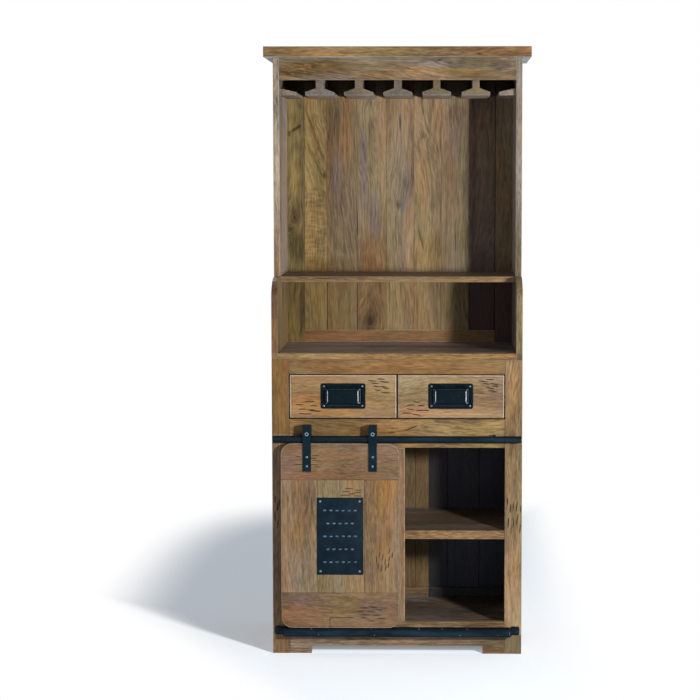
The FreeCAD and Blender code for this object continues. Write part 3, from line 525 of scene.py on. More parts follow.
SIDE_BOARD = dict(tone=SIDE, axes=SIDE_Z, figure=0.6, contrast=1.25)
HUTCH_SIDE = dict(rim=0.4, rim_colour=SHEEN, **SIDE_BOARD)
BOARDS = {
    # The cornice's pale blue-grey underside is a painted reflection of grazing light
    "cornice_board": dict(
        tone=(150, 121, 84), faces=[("-z", (172, 182, 192))], axes=FACE_X, figure=0.8, contrast=1.2,
        patches=CORNICE_PATCHES),
    "fascia_board": dict(
        tone=(137, 119, 95), axes=FACE_X, figure=1.3, contrast=1.2, bloom=1.6,
        knots=[(1.745, -0.25, 0.0042)], patches=FASCIA_PATCHES,
        flecks=[(1.737, -0.275, 0.03, 0.105, (172, 122, 76))]),
    "hutch_side_left": dict(
        faces=[("+x", INNER), ("-y", EDGE)], patches=[(-0.08, 1.54, 1.0, 0.38, SHEEN_LEFT)], **HUTCH_SIDE),
    "hutch_side_right": dict(
        faces=[("-x", INNER), ("-y", EDGE)], patches=[(-0.08, 1.54, 1.0, 0.38, SHEEN_RIGHT)], **HUTCH_SIDE),
    # On the wings' front edges the base sides' zones are painted shade at the left and a painted highlight
    # at the right; the right side's grey inner face is painted shade
    "base_side_left": dict(
        faces=[("+x", (132, 112, 84)), ("-y", EDGE)], zones=[(-0.4, 0.4, 1.0, 1.2, (0.66, 0.6, 0.68)),
            (-0.4, 0.4, 0.9, 1.0, (0.9, 0.8, 0.78))], **SIDE_BOARD),
    "base_side_right": dict(
        faces=[("-x", (116, 110, 104)), ("-y", EDGE)], zones=[(-0.4, 0.4, 0.9, 1.2, (1.38, 1.44, 1.52))],
        **SIDE_BOARD),
    "hutch_shelf": dict(tone=SHELF, faces=[("-y", (131, 105, 73))], axes=TOP_X, contrast=1.4),
    # The counter's pale grey tone is partly a painted reflection on its grazing-lit top; its patches are
    # painted shade at the right and a painted sheen at the back
    "counter_board": dict(
        tone=(154, 137, 128), faces=[("-y", (140, 113, 70)), ("+y", SIDE)], axes=TOP_X, figure=0.6,
        rim=0.08, zone_side="+z", contrast=1.6, patches=[(0.03, 0.36, 0.2, 0.17, (0.62, 0.66, 0.72)),
            (0.17, -0.1, 0.1, 0.6, (1.4, 1.75, 2.4))]),
    "frame_rail_top": dict(tone=(140, 112, 73), axes=FACE_X, figure=0.7, contrast=0.9, rim=0.05),
    "frame_rail_bottom": dict(
        tone=(141, 119, 94), axes=FACE_X, figure=1.2, contrast=1.2, rim=0.1, bloom=1.5,
        patches=APRON_PATCHES),
    # stile_centre's strong pale rim is a painted highlight along its edges
    "stile_centre": dict(tone=(140, 116, 90), figure=0.4, rim=0.7, rim_colour=(196, 180, 162)),
    "shelf_left": dict(tone=SHELF, faces=[("-y", SHELF_EDGE)], axes=TOP_X),
    # Patches on the shelf's and floor's tops: painted light at the back left, and on the floor a painted
    # shade over its middle
    "shelf_right": dict(
        tone=SHELF, faces=[("-y", SHELF_EDGE)], axes=TOP_X, figure=1.0, contrast=1.4, zone_side="+z",
        patches=[(0.16, 0.05, 0.05, 0.12, (1.5, 1.75, 2.3))]),
    "base_floor": dict(
        tone=SHELF, axes=TOP_X, figure=1.0, contrast=1.9, zone_side="+z",
        patches=[(0.17, 0.05, 0.06, 0.12, (1.3, 1.5, 2.0)), (0.0, 0.1, 0.2, 0.2, (0.74, 0.84, 0.9))]),
    "base_divider": dict(tone=INSIDE, axes=SIDE_Z, figure=0.4),
    "drawer_deck": dict(tone=RAW, axes=TOP_X, figure=0.3),
    "drawer_guides": dict(tone=RAW, axes=DEPTH_Y, figure=0.3),
    "base_back_panel": dict(
        tone=INSIDE, faces=[("+y", SIDE)], figure=0.6, planks=BASE_BACK_JOINTS, tints=BASE_TINTS,
        # Zones of painted shade where the right bay's back lies in shadow
        zones=[(0.0915, 0.134, 0.0, 1.0, BAY_EDGE_SHADE), (0.134, 0.4, 0.38, 1.0, BAY_UPPER_SHADE),
            (0.134, 0.4, 0.0, 0.38, BAY_LOWER_SHADE)]),
    # back_floor_strips: a painted shade zone to the right, as in the bay
    "back_floor_strips": dict(
        tone=INSIDE, axes=FACE_X, figure=0.3, zones=[(0.0, 0.2, 0.0915, 0.34, BAY_EDGE_SHADE)]),
    "hutch_back_planks": dict(
        tone=BACK, figure=1.1, planks=BACK_JOINTS, tints=BACK_TINTS, contrast=1.02, warmth=0.8, bloom=1.8,
        flow=0.45, patches=PLANK_PATCHES, knots=[(-0.005, 1.331, 0.005), (-0.093, 0.966, 0.019),
            (-0.235, 1.422, 0.0035)], curls=[(-0.299, -0.2284, 1.14, 1.38, 0.45)],
        leans=[(-0.299, -0.2284, 1.36, 1.62, 0.3), (-0.1334, -0.0425, 1.4, 1.62, 0.16),
            (-0.1334, -0.0425, 1.18, 1.36, -0.14), (0.2171, 0.299, 1.15, 1.45, -0.1)],
        # Zones of painted shade in the niche, under the rack and at the niche's right end, a cooler shade at
        # the niche's left and painted light in its middle
        zones=[(-0.4, 0.4, *NICHE, NICHE_SHADE), (-0.4, 0.4, *RACK, RACK_SHADE),
            (-0.299, -0.2284, *NICHE, (0.72, 0.82, 0.92)), (-0.0425, 0.0449, *NICHE, (1.28, 1.3, 1.26)),
            (0.2171, 0.4, *NICHE, NICHE_END_SHADE)], seams=[("x", -0.299, *SEAM), ("x", 0.299, *SEAM, 1.0),
            ("x", -0.1334, 0.93, 1.112), ("x", -0.2284, 0.93, 1.112)]),
    "back_stiles": dict(
        tone=BACK, figure=1.0, planks=[0.0], contrast=1.2, warmth=0.6, bloom=1.4, flow=0.5,
        tints=[(0.84, 0.87, 0.7), (0.82, 0.78, 0.78)], patches=BACK_STILE_PATCHES,
        knots=[(-0.331, 1.292, 0.011), (-0.341, 1.256, 0.009)], seams=[("x", 0.299, *SEAM, 1.0)],
        # Zones of painted shade in the niche and under the rack
        zones=[(-0.4, -0.2, *NICHE, NICHE_STILE_SHADE), (-0.4, 0.4, *RACK, RACK_SHADE),
            (0.2171, 0.4, *NICHE, NICHE_END_SHADE)]),
    "back_bottom_rail": dict(tone=(124, 92, 58), axes=FACE_X, figure=0.8),
    # rack_board's dark tone is painted shade under the rack; only its top keeps the side tone
    "rack_board": dict(tone=(50, 40, 32), faces=[("+z", SIDE)], axes=TOP_X, figure=0.3),
    "rack_half_slats": dict(tone=INNER, axes=DEPTH_Y, figure=0.3),
    # The door board's pale rim is a painted highlight along its rounded outline
    "door_board_left": dict(
        tone=(146, 122, 92), figure=0.8, outline=DOOR_OUTLINE, rim=0.55, bloom=1.6,
        patches=[(-0.29, 0.36, 0.03, 0.08, (1.02, 1.0, 0.72)), (-0.26, 0.49, 0.02, 0.05, (0.92, 0.92, 1.0)),
            (-0.29, 0.23, 0.03, 0.03, (0.86, 0.92, 1.0))]),
}


def dress_wood():
    """Every wooden node gets a board of its own."""
    boards = dict(BOARDS)
    for number, tone in enumerate(SLAT_FACES):
        boards[f"rack_slat_{number + 1}"] = dict(tone=INNER, faces=[("-y", tone)], axes=DEPTH_Y, figure=0.3,
                                                 contrast=0.8, warmth=0.2, rim=0.6, rim_colour=SHEEN)
    for side in ("left", "right"):
        boards[f"drawer_{side}_frame"] = dict(tone=RAW, axes=SIDE_Y, figure=0.3)
        boards[f"drawer_{side}_bottom"] = dict(tone=RAW, axes=TOP_X, figure=0.3)
    for seed, (name, look) in enumerate(boards.items(), 1):
        paint(nodes[name], wood(f"wood_{name}", seed=seed, node=name, **look))


def paint(piece, material):
    """Give every material slot of a piece one material."""
    if not piece.material_slots:
        piece.data.materials.append(material)
    for slot in piece.material_slots:
        slot.material = material


def link(piece):
    """Put an object in the scene."""
    bpy.context.scene.collection.objects.link(piece)
    return piece


def built(builder, name):
    """Mesh of a builder, with its faces turned outwards."""
    bmesh.ops.recalc_face_normals(builder, faces=builder.faces)
    mesh = bpy.data.meshes.new(name)
    builder.to_mesh(mesh)
    builder.free()
    return mesh


def carve(name, solid_mesh, cutter_mesh):
    """Mesh of one solid less others, without materials."""
    solid, cutter = (link(bpy.data.objects.new(name, mesh)) for mesh in (solid_mesh, cutter_mesh))
    cut = solid.modifiers.new("cut", "BOOLEAN")
    cut.operation = "DIFFERENCE"
    cut.solver = "EXACT"
    cut.use_self = True
    cut.object = cutter
    mesh = bpy.data.meshes.new_from_object(solid.evaluated_get(bpy.context.evaluated_depsgraph_get()))
    for spare in (solid, cutter):
        bpy.data.objects.remove(spare)
    mesh.materials.clear()
    return mesh


def add_piece(name, mesh, material, body, node):
    """Piece that rides a body and stands for a node."""
    mesh.name = name
    piece = link(bpy.data.objects.new(name, mesh))
    paint(piece, material)
    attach(piece, body)
    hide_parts(node)


def add_gouge(builder, rng, x, z, length, width, depth, angle, face_y):
    """Closed spindle across a face: half of it cuts into the wood."""
    stations = ((-0.4, 0.72), (-0.15, 1.0), (0.15, 1.0), (0.4, 0.68))
    bow = rng.uniform(-0.05, 0.05) * length
    sides = 6

    def corner(share, reach, turn):
        along = share * length
        side = reach * width / 2 * math.cos(turn) + bow * (1 - (2 * share) ** 2)
        return builder.verts.new((
            x + along * math.cos(angle) - side * math.sin(angle),
            face_y + reach * depth * math.sin(turn),
            z + along * math.sin(angle) + side * math.cos(angle),
        ))

    start = corner(-0.5, 0.0, 0.0)
    end = corner(0.5, 0.0, 0.0)
    loops = [[corner(share, reach, math.tau * (number + 0.5) / sides) for number in range(sides)]
             for share, reach in stations]
    for number in range(sides):
        after = (number + 1) % sides
        builder.faces.new((start, loops[0][number], loops[0][after]))
        builder.faces.new((end, loops[-1][after], loops[-1][number]))
        for here, there in zip(loops, loops[1:]):
            builder.faces.new((here[number], there[number], there[after], here[after]))


def carved_board(name, node, seed, marks, body, slot, **look):
    """CAD board with gouges in its front. marks are middles and lengths in mm, and slopes in degrees."""
    face_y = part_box(node)[0].y
    rng = random.Random(seed)
    builder = bmesh.new()
    for x, z, length, slope in marks:
        angle = math.radians(slope + rng.uniform(-2.5, 2.5))
        width = rng.uniform(0.0031, 0.0042)
        add_gouge(builder, rng, x / 1000, z / 1000, length / 1000, width, 0.0017, angle, face_y)
    mesh = carve(name, nodes[node].data.copy(), built(builder, "gouges"))
    material = wood(f"wood_{name}", seed=seed, node=node, carved=face_y, **look)
    add_piece(name, mesh, material, body, node)


STILE_RIGHT_MARKS = (
    (327, 458, 26, 86), (336, 438, 28, 88), (346, 447, 28, 84), (355, 443, 30, 82), (366, 437, 22, 88),
    (329, 396, 33, 88), (344, 396, 33, 89), (357, 404, 38, 80), (366, 378, 30, 82),
)
STILE_LEFT_MARKS = (
    (-361, 464, 24, 88), (-355, 441, 28, 87), (-361, 413, 32, 90), (-354, 390, 26, 88), (-349, 455, 20, 92),
)
DOOR_TOP_MARKS = (
    (-239, 601, 26, -3), (-289, 596, 20, 0), (-245, 592, 20, -3), (-236, 585, 28, -2), (-288, 573, 26, 0),
    (-244, 573, 28, -3), (-234, 566, 22, -4),
)
DOOR_BOTTOM_MARKS = (
    (-71, 148, 30, -2), (-95, 144, 28, 0), (-52, 140, 24, -3), (-75, 133, 28, 0), (-108, 135, 22, 0),
    (-93, 124, 30, -2), (-60, 122, 26, -3), (-46, 113, 30, -2), (-76, 106, 26, -3), (-99, 115, 20, 0),
)
DOOR_CENTRE_MARKS = (
    (-140, 501, 28, -2), (-113, 498, 22, 0), (-149, 494, 26, 2), (-115, 490, 24, -2), (-134, 486, 22, 2),
    (-152, 481, 32, 0), (-114, 481, 24, -2),
)
DOOR_RIGHT_MARKS = (
    (-52, 305, 20, 84), (-61, 290, 22, 90), (-42, 298, 22, 82), (-34, 285, 22, 84), (-22, 292, 20, 80),
    (-13, 303, 20, 84), (-55, 271, 20, 90), (-45, 264, 22, 84), (-34, 266, 24, 82), (-25, 274, 20, 84),
    (-22, 316, 20, 80),
)
DRAWER_LEFT_MARKS = (
    (-48, 823, 26, -3), (-73, 818, 28, -6), (-36, 816, 30, -8), (-65, 810, 22, -2), (-44, 800, 32, -6),
    (-62, 801, 20, -8), (-32, 796, 22, -4), (-57, 791, 20, -4), (-34, 784, 30, -8),
    (-257, 756, 32, 2), (-288, 747, 26, 0), (-245, 743, 22, -2), (-279, 733, 24, 3), (-255, 732, 24, 0),
    (-242, 728, 34, -5), (-271, 721, 42, 2),
)
DRAWER_RIGHT_MARKS = (
    (275, 822, 27, -3), (255, 817, 30, -7), (289, 810, 26, -5), (262, 809, 22, -4), (290, 802, 20, -4),
    (276, 797, 26, -8), (280, 788, 26, -6),
    (57, 755, 22, -4), (42, 746, 26, 0), (72, 744, 22, -4), (40, 734, 24, -6), (69, 731, 28, 2),
    (86, 730, 20, -2), (30, 722, 30, -4), (58, 717, 28, -9),
)
MID_RAIL_CRACKS = ((51, 682, 22, 24), (36, 676, 32, 19))


def add_carved_boards():
    """Boards whose fronts carry clusters of short carved marks, and a crack in one rail."""
    fixed = dict(body="carcass", slot="wood_body")
    # The door's and the drawers' pale rims are painted highlights along their edges; below paints a dark
    # line of shade along each drawer's bottom edge and dims the rim just above it
    door = dict(body="door", slot="wood_door", outline=DOOR_OUTLINE, flow=0.9, rim=0.55, contrast=0.95,
                hollow=0.72, bloom=1.6)
    drawer = dict(slot="wood_drawer", axes=FACE_X, flow=0.8, rim=0.85, rim_reach=0.0012,
                  rim_colour=(214, 200, 184), contrast=0.95, bloom=1.3)
    below = ((0.7, 0.7086, -1.0, 1.0, (0.16, 0.12, 0.1)), (0.7086, 0.7106, -1.0, 1.0, (0.66, 0.58, 0.5)))
    carved_board(
        "stile_right_carved", "stile_right", 41, STILE_RIGHT_MARKS, tone=(158, 130, 94), figure=0.4,
        rim=0.1, zones=[(0.3, 0.38, -0.01, 0.0576, (0.46, 0.49, 0.5))],
        patches=[(0.345, 0.7, 0.03, 0.1, (0.98, 1.0, 0.9)), (0.35, 0.25, 0.03, 0.08, (1.04, 0.98, 0.9))],
        **fixed)
    carved_board(
        "stile_left_carved", "stile_left", 48, STILE_LEFT_MARKS, tone=(125, 93, 53), figure=0.6, rim=0.1,
        zones=[(-0.38, -0.3, 0.0576, 0.66, IN_DOOR_SHADOW), (-0.38, -0.3, -0.01, 0.0576, (1.12, 1.2, 1.8))],
        **fixed)
    carved_board(
        "rail_mid_cracked", "frame_rail_mid", 49, MID_RAIL_CRACKS, tone=(144, 117, 76), axes=FACE_X,
        figure=1.0, contrast=1.1, rim=0.05, leans=[(0.6, 0.72, 0.06, 0.2, 0.1)],
        # Patches: dark smudges near the top edge, a painted shadow over the left part, painted light over
        # the right and a small dark spot
        patches=[(0.7, 0.135, 0.008, 0.03, (0.52, 0.56, 0.66)),
            (0.699, 0.215, 0.008, 0.035, (0.55, 0.58, 0.68)), (0.665, -0.2, 0.05, 0.14, (0.64, 0.68, 0.62)),
            (0.67, 0.2, 0.04, 0.14, (1.3, 1.34, 1.34)), (0.664, -0.015, 0.003, 0.012, (0.5, 0.3, 0.2))],
        **fixed)
    carved_board(
        "door_top_carved", "door_board_top", 42, DOOR_TOP_MARKS, tone=DOOR_WARM, axes=FACE_X, figure=0.4,
        patches=[(0.6, -0.2, 0.05, 0.09, (0.96, 1.06, 1.02)), (0.56, -0.32, 0.04, 0.03, (0.9, 0.94, 1.2))],
        **door)
    carved_board(
        "door_bottom_carved", "door_board_bottom", 43, DOOR_BOTTOM_MARKS, tone=DOOR_WARM, axes=FACE_X,
        figure=0.4, seams=[("x", -0.198, 0.084, 0.1154), ("z", 0.1154, -0.198, -0.128)],
        patches=[(0.15, -0.16, 0.05, 0.07, (0.98, 1.04, 0.72)),
            (0.13, -0.02, 0.05, 0.03, (1.18, 1.0, 0.92)), (0.17, -0.28, 0.02, 0.03, (0.92, 0.96, 1.22))],
        **door)
    carved_board(
        "door_centre_carved", "door_board_centre", 44, DOOR_CENTRE_MARKS, tone=(127, 110, 80), figure=0.6,
        **door)
    carved_board(
        "door_right_carved", "door_board_right", 45, DOOR_RIGHT_MARKS, tone=(130, 107, 77), figure=0.8,
        patches=[(-0.02, 0.5, 0.02, 0.05, (1.16, 1.0, 0.86)), (-0.05, 0.46, 0.02, 0.08, (1.05, 1.02, 0.78)),
            (-0.045, 0.33, 0.02, 0.05, (1.08, 1.0, 0.72)), (-0.075, 0.25, 0.02, 0.04, (0.88, 0.86, 1.1)),
            (-0.024, 0.36, 0.012, 0.04, (0.74, 0.72, 0.72))], **door)
    carved_board(
        "drawer_left_carved", "drawer_left_front", 46, DRAWER_LEFT_MARKS, "drawer_left", tone=(150, 120,
            84), figure=0.5, zones=below, patches=[(0.775, -0.04, 0.02, 0.03, (0.9, 0.92, 0.92)),
            (0.745, -0.2, 0.04, 0.12, (1.06, 0.96, 0.8))], **drawer)
    carved_board(
        "drawer_right_carved", "drawer_right_front", 47, DRAWER_RIGHT_MARKS, "drawer_right", tone=(156, 127,
            94), figure=1.0, leans=[(0.7, 0.84, 0.16, 0.32, 0.1), (0.7, 0.84, 0.0, 0.08, -0.3)],
        # A painted line of shade along the right drawer's left edge
        zones=[*below, (0.7, 0.84, 0.0, 0.004, (0.12, 0.1, 0.09))],
        patches=[(0.76, 0.26, 0.06, 0.06, (0.96, 0.91, 0.8)), (0.8, 0.03, 0.03, 0.04, (0.9, 0.98, 1.0)),
            (0.73, 0.05, 0.02, 0.05, (1.1, 0.96, 0.96)), (0.815, 0.27, 0.02, 0.05, (0.86, 0.86, 0.96))],
        **drawer)


def ring_points(half_x, half_z, radius, x, y, z, steps=5):
    """Rounded rectangle of points at one depth, turning one way."""
    points = []
    for sign_x, sign_z, start in ((1, 1, 0.0), (-1, 1, 0.25), (-1, -1, 0.5), (1, -1, 0.75)):
        for step in range(steps + 1):
            turn = math.tau * (start + 0.25 * step / steps)
            points.append((
                x + sign_x * (half_x - radius) + radius * math.cos(turn),
                y,
                z + sign_z * (half_z - radius) + radius * math.sin(turn),
            ))
    return points


def bridge(builder, rings, closed=True):
    """Quads between rings of equally many points. Returns the rings' vertices."""
    loops = [[builder.verts.new(point) for point in ring] for ring in rings]
    for here, there in zip(loops, loops[1:]):
        for number in range(len(here) if closed else len(here) - 1):
            after = (number + 1) % len(here)
            builder.faces.new((here[number], here[after], there[after], there[number]))
    return loops


def capped(builder, rings, closed=True):
    """Quads between rings, with a face over the first when closed and over the last."""
    loops = bridge(builder, rings, closed)
    if closed:
        builder.faces.new(loops[0])
    builder.faces.new(loops[-1])
    return loops


def front_of(node):
    """Middle and half size of a node seen from the front, and its front and back."""
    low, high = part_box(node)
    x = (low.x + high.x) / 2
    z = (low.z + high.z) / 2
    return x, z, (high.x - low.x) / 2, (high.z - low.z) / 2, low.y, high.y


def add_plate(builder, x, z, half_x, half_z, radius, back_y, front_y, border, step):
    """Pressed plate with rounded edges and a border step."""
    round_off = 0.0008
    bevel = round_off * 0.3
    shapes = [(0.0, radius, back_y), (0.0, radius, front_y + round_off), (bevel, radius, front_y + bevel),
              (round_off, radius - round_off, front_y)]
    if border:
        inner = max(radius - border, 0.003)
        shapes += [(border, inner, front_y), (border + 0.0009, inner, front_y + step)]
    capped(builder, [ring_points(half_x - inset, half_z - inset, corner, x, y, z)
                     for inset, corner, y in shapes])


def arch_points(half, top, bottom, radius, x, y, z, steps=6):
    """Line up one side of a cup, over its rounded top and down the other side."""
    spring = (bottom + top - radius) / 2
    points = [(x - half, y, z + bottom), (x - half, y, z + spring)]
    for side, start in ((-1, math.pi), (1, 0.5 * math.pi)):
        for step in range(steps + 1):
            turn = start - 0.5 * math.pi * step / steps
            points.append((
                x + side * (half - radius) + radius * math.cos(turn),
                y,
                z + top - radius + radius * math.sin(turn),
            ))
        if side < 0:
            points.append((x, y, z + top))
    return points + [(x + half, y, z + spring), (x + half, y, z + bottom)]


# Half width, top, bottom, corner radius and height over the plate of each ring of a cup
CUP_RINGS = (
    (0.052, 0.0265, -0.021, 0.009, 0.0),
    (0.0508, 0.025, -0.0209, 0.0085, 0.0008),
    (0.0502, 0.024, -0.0208, 0.008, 0.0024),
    (0.0497, 0.023, -0.0206, 0.0075, 0.006),
    (0.049, 0.0217, -0.0203, 0.0072, 0.0108),
    (0.0482, 0.0205, -0.02, 0.0068, 0.0145),
    (0.0466, 0.019, -0.0197, 0.0064, 0.017),
    (0.0444, 0.0168, -0.0195, 0.006, 0.0184),
    (0.0412, 0.0145, -0.0194, 0.0052, 0.0189),
)
CUP_WALL = 0.0017


def add_cup_pulls():
    """Pressed plate pulls with a round-shouldered cup, open below."""
    for seed, side in enumerate(("left", "right")):
        node = f"drawer_{side}_pull"
        x, z, half_x, half_z, _, back_y = front_of(node)
        plate_y = back_y - 0.0025
        builder = bmesh.new()
        add_plate(builder, x, z, half_x, half_z, 0.006, back_y, plate_y, 0.0066, 0.0006)
        outer = [arch_points(half, top, bottom, radius, x, plate_y - out, z)
                 for half, top, bottom, radius, out in CUP_RINGS]
        inner = [arch_points(half - CUP_WALL, top - CUP_WALL, bottom, max(radius - CUP_WALL, 0.001), x,
                             plate_y - max(out - CUP_WALL, -0.0004), z)
                 for half, top, bottom, radius, out in CUP_RINGS]
        shells = [capped(builder, rings, closed=False) for rings in (outer, inner)]
        rims = [[loop[0] for loop in loops] + [loop[-1] for loop in reversed(loops)] for loops in shells]
        for near, far in ([loops[0] for loops in shells], rims):
            for number in range(len(near) - 1):
                builder.faces.new((near[number], near[number + 1], far[number + 1], far[number]))
        # Painted highlights: bright lines down both sides of the cup and over its shoulders, and dim lines
        # along the flange, broken by rubbed noise
        wear_and_highlight = [("z", z + 0.0215, x - 0.05, x + 0.05, 0.0012, 0.07),
                ("z", z - 0.0285, x - 0.054, x + 0.054, 0.001, 0.05)]
        for turn in (-1, 1):
            wear_and_highlight += [("x", x + turn * 0.045, z - 0.017, z + 0.019, 0.0015, 1.0),
                     ("x", x + turn * 0.0508, z - 0.027, z + 0.023, 0.0009, 0.16),
                     ("x", x + turn * 0.0475, z - 0.0225, z - 0.016, 0.0013, 0.75),
                     ("z", z + 0.0195, x + turn * 0.0485 - 0.003, x + turn * 0.0485 + 0.003, 0.0011, 0.45)]
        coat = black_steel(f"pull_coat_{side}", seed + 21, 0.22, 0.06, wear_and_highlight=wear_and_highlight, depth=0.8)
        mesh = smooth_mesh(builder, 50)
        add_piece(f"drawer_{side}_cup_pull", mesh, coat, f"drawer_{side}", node)


def smooth_mesh(builder, degrees):
    """Smooth mesh of a builder, sharp over edges steeper than an angle."""
    bmesh.ops.recalc_face_normals(builder, faces=builder.faces)
    for face in builder.faces:
        face.smooth = True
    for edge in builder.edges:
        if len(edge.link_faces) != 2 or edge.calc_face_angle(0.0) > math.radians(degrees):
            edge.smooth = False
    return built(builder, "smooth")


def add_sign():
    """Bare pressed plate with staggered rows of small raised bars, as on tread plate."""
    x, z, half_x, half_z, front_y, back_y = front_of("sign_plate")
    plate_y = front_y + 0.0014
    builder = bmesh.new()
    add_plate(builder, x, z, half_x, half_z, 0.003, back_y, plate_y, 0.0, 0.0)
    bar_pitch = 0.018
    row_pitch = 0.0385
    for row in range(5):
        count = 5 if row % 2 else 6
        for number in range(count):
            bar_x = x + (number - (count - 1) / 2) * bar_pitch
            bar_z = z + (2 - row) * row_pitch
            rings = []
            for share, out in ((1.0, -0.0001), (0.88, 0.0008), (0.66, 0.0013)):
                half_wide = 0.006 * share + 0.0002
                half_tall = 0.0032 * share
                y = plate_y - out
                rings.append(ring_points(half_wide, half_tall, half_tall * 0.98, bar_x, y, bar_z, 4))
            capped(builder, rings)
    coat = black_steel("sign_coat", 31, raised=front_y + 0.0004)
    add_piece("sign_panel", smooth_mesh(builder, 40), coat, "door", "sign_plate")


HEAD_RADIUS = 0.0034
HEAD_PROFILE = (
    (0.0017, 0.006), (0.0017, 0.0), (1.0 * HEAD_RADIUS, 0.0), (1.0 * HEAD_RADIUS, -0.0007),
    (0.94 * HEAD_RADIUS, -0.0013), (0.72 * HEAD_RADIUS, -0.0019), (0.36 * HEAD_RADIUS, -0.0022),
)
HEAD_STEPS = 20


def add_slot(builder, x, z, seat, angle, grow, sink):
    """Box that cuts one slot of a cross recess."""
    long = 0.62 * HEAD_RADIUS * grow
    wide = 0.14 * HEAD_RADIUS
    near, far = (
        [builder.verts.new((
            x + along * long * math.cos(angle) - side * wide * math.sin(angle),
            seat + depth * sink,
            z + along * long * math.sin(angle) + side * wide * math.cos(angle),
        )) for along, side in ((1, 1), (-1, 1), (-1, -1), (1, -1))]
        for depth in (-0.003, -0.0012)
    )
    builder.faces.new(near)
    builder.faces.new(far[::-1])
    for number in range(4):
        after = (number + 1) % 4
        builder.faces.new((near[number], far[number], far[after], near[after]))


def add_cross_screws():
    """Pan-head screws with a cross recess, each turned its own way."""
    sign_places = [(x, z, -0.215) for x in (-0.2255, -0.1095) for z in (0.4643, 0.2553)]
    strap_places = [(x, z, -0.2165) for x in (-0.2645, -0.0705) for z in (0.5958, 0.5686)]
    track_places = [(x, 0.07015, -0.1835) for x in (-0.3545, 0.3545)]
    zinc = bare_steel("zinc_screws", (60, 82, 100), (158, 178, 192))
    black = black_steel("black_screws", 61, 0.3, 0.2)
    turns = [math.tau * step / HEAD_STEPS for step in range(HEAD_STEPS)]
    for seed, (name, node, body, places, coat) in enumerate((
        ("door_cross_screws", "door_screws", "door", sign_places + strap_places, zinc),
        ("track_cross_screws", "track_screws", "carcass", track_places, black),
    ), 7):
        rng = random.Random(seed)
        heads = bmesh.new()
        slots = bmesh.new()
        for x, z, seat in places:
            rings = [[(x + reach * math.cos(turn), seat + out, z + reach * math.sin(turn)) for turn in turns]
                     for reach, out in HEAD_PROFILE]
            capped(heads, rings)
            turn = rng.uniform(0, math.pi / 2)
            add_slot(slots, x, z, seat, turn, 0.999, 0.98)
            add_slot(slots, x, z, seat, turn + math.pi / 2, 1.0, 1.0)
        mesh = carve(name, built(heads, "heads"), built(slots, "slots"))
        add_piece(name, mesh, coat, body, node)


# Places and radii of painted glints on the track: small bright spots along its edges, and a column at its
# right end as a painted highlight on the bend
TRACK_GLINTS = (
    (-0.253, 0.0808, 0.0011), (-0.201, 0.0806, 0.0007), (-0.232, 0.064, 0.001), (-0.076, 0.0808, 0.0008),
    (-0.067, 0.0625, 0.0011), (0.066, 0.0808, 0.001), (0.134, 0.0806, 0.0008), (0.187, 0.0625, 0.0012),
    (0.208, 0.0808, 0.0006), (0.2995, 0.064, 0.0008), (0.3345, 0.08, 0.0006), (0.3345, 0.074, 0.0007),
    (0.3345, 0.069, 0.0008), (0.3345, 0.064, 0.0006),
)
# door_rail and floor_track get a painted light band with painted shade on their top and bottom edges
COATS = {
    "door_rail": dict(core=(0.6375, 0.656)),
    "rail_standoffs": {},
    "rail_stops": {},
    "floor_track": dict(core=(0.054, 0.0835), glints=TRACK_GLINTS),
    "hanger_left": {},
    "hanger_right": {},
    "guide_pins": {},
}


def dress_steel():
    """Powder-coated fittings and bright fasteners."""
    for seed, (name, look) in enumerate(COATS.items(), 1):
        paint(nodes[name], black_steel(f"steel_{name}", seed, **look))
    bright = bare_steel("bright_steel")
    for name in ("roller_left", "roller_right", "drawer_left_rivets", "drawer_right_rivets"):
        paint(nodes[name], bright)
    # Each axle bolt's dark head gets a painted bright ring, a painted highlight round its dome
    rings = [(*front_of(name)[:2], 0.0044, 0.0013, (150, 172, 190))
             for name in ("roller_left", "roller_right")]
    paint(nodes["axle_bolts"], bare_steel("bolt_steel", (12, 24, 36), (24, 40, 54), rings))


WHITE = (1.0, 1.0, 1.0, 1.0)
FLOOR_GREY = (0.86, 0.88, 0.9, 1.0)
FLOOR_TINT = (1.32, 1.39, 1.49, 1.0)
# FLOOR_BENEATH and the extra glow beneath are painted bluish light on the floor under the cabinet
FLOOR_BENEATH = (1.06, 1.24, 1.44, 1.0)
FLOOR_GLOW = (0.94, 0.98, 1.0, 1.0)
FLOOR_LIFT = 0.185


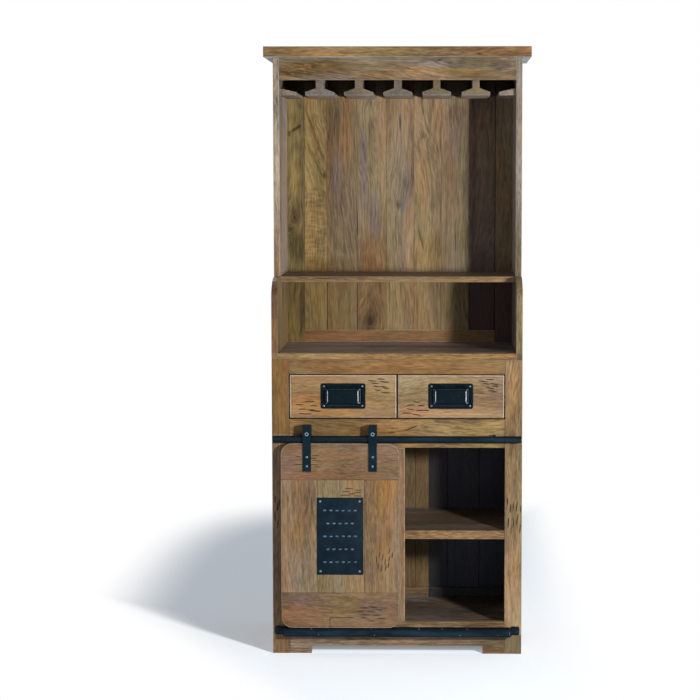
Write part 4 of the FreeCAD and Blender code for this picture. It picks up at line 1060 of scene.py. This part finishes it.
def add_floor():
    """Pale floor that keeps the cabinet's shadow and fades out to white, with painted light under the
    cabinet, where it glows brighter and bluer.
    """
    mesh = bpy.data.meshes.new("floor")
    corners = ((-9, -7), (9, -7), (9, 30), (-9, 30))
    mesh.from_pydata([(x, y, -0.0005) for x, y in corners], [], [(0, 1, 2, 3)])
    floor = link(bpy.data.objects.new("floor", mesh))
    net, _, (x, y, _) = new_material("floor")
    far = abs(x / 0.97) ** 4 + net.most((y - 0.4) / 1.95, 0.0) ** 4
    away = net.most(
        net.span(far ** 0.25, 0.74, 1.1, smooth=True),
        net.span(x, 0.4, 0.62, smooth=True),
        net.span(y, -0.7, -1.3, smooth=True),
        net.span(y * 0.55 + x, -0.52, -0.74, smooth=True),
    )
    # Painted light under the cabinet: the floor there gets a bluer tint and a brighter glow
    beneath = net.span(abs(x), 0.345, 0.325) * (net.span(y, -0.19, -0.17) * net.span(y, 0.2, 0.16))
    glow = beneath * net.span(y, -0.08, -0.165, 0.02, 0.22) + FLOOR_LIFT
    matte = net.add("BsdfDiffuse", {0: FLOOR_GREY})
    seen = net.add("BsdfDiffuse", {0: net.mix(beneath, FLOOR_TINT, FLOOR_BENEATH)})
    seen = net.add("AddShader", {0: seen, 1: net.add("Emission", {0: FLOOR_GLOW, 1: glow})})
    faded = net.add("MixShader", {0: away, 1: seen, 2: net.add("Emission", {0: WHITE, 1: 1.0})})
    paint(floor, net.finish(net.add("MixShader", {0: net.plain_sight(), 1: matte, 2: faded})))


def add_camera():
    """Camera where the photograph was taken from."""
    camera = bpy.data.cameras.new("photo_camera")
    camera.sensor_width = 36.0
    camera.lens = 95.77
    camera.shift_x = -0.0863
    camera.shift_y = -0.029
    camera.clip_end = 60.0
    eye = link(bpy.data.objects.new("photo_camera", camera))
    eye.location = (0.1251, -5.6405, 1.416)
    eye.rotation_euler = (math.radians(90 - 4.674), 0, math.radians(0.895))
    bpy.context.scene.camera = eye


KEY_STRENGTH = 8.8
BACK_STRENGTH = 6.0
LEFT_STRENGTH = 0.7
ROOM_STRENGTH = 0.24
ROOM_COLOUR = (0.84, 0.92, 1.0, 1.0)


def add_box_light(name, place, target, size, strength, colour, off_floor=False):
    """Round soft box whose light does not fade with distance."""
    lamp = bpy.data.lights.new(name, "AREA")
    lamp.shape = "DISK"
    lamp.size = size
    lamp.energy = 1.0
    lamp.color = colour
    net = Net(lamp)
    even = net.add("LightFalloff", {"Strength": strength}, "Constant")
    net.finish(net.add("Emission", {"Color": WHITE, "Strength": even}), "OutputLight")
    stand = link(bpy.data.objects.new(name, lamp))
    stand.location = place
    stand.rotation_euler = (Vector(target) - Vector(place)).to_track_quat("-Z", "Y").to_euler()
    if off_floor:
        spared = bpy.data.collections.new(name + "_spares")
        spared.objects.link(bpy.data.objects["floor"])
        stand.light_linking.receiver_collection = spared
        spared.collection_objects[0].light_linking.link_state = "EXCLUDE"


def add_light():
    """One soft box at the front right, low enough to shine under the rack, and a pale room."""
    add_box_light("key", (1.4, -2.18, 1.1), (0.0, -0.18, 0.9), 0.24, KEY_STRENGTH, (1.0, 0.975, 0.94))
    add_box_light("back_fill", (-2.0, 3.2, 3.2), (0.0, 0.2, 0.9), 2.4, BACK_STRENGTH, (0.98, 0.99, 1.0),
                  True)
    add_box_light("left_strip", (-1.6, -1.7, 1.0), (0.0, -0.2, 0.8), 0.18, LEFT_STRENGTH, (0.94, 0.97, 1.0),
                  True)
    net = Net(bpy.data.worlds.new("studio"))
    room = net.add("Background", {0: ROOM_COLOUR, 1: ROOM_STRENGTH})
    white = net.add("Background", {0: WHITE, 1: 1.0})
    both = net.add("MixShader", {0: net.plain_sight(), 1: room, 2: white})
    bpy.context.scene.world = net.finish(both, "OutputWorld")


add_camera()
add_floor()
add_light()
dress_wood()
dress_steel()
add_carved_boards()
add_cup_pulls()
add_sign()
add_cross_screws()
bpy.context.scene.view_settings.view_transform = "Standard"
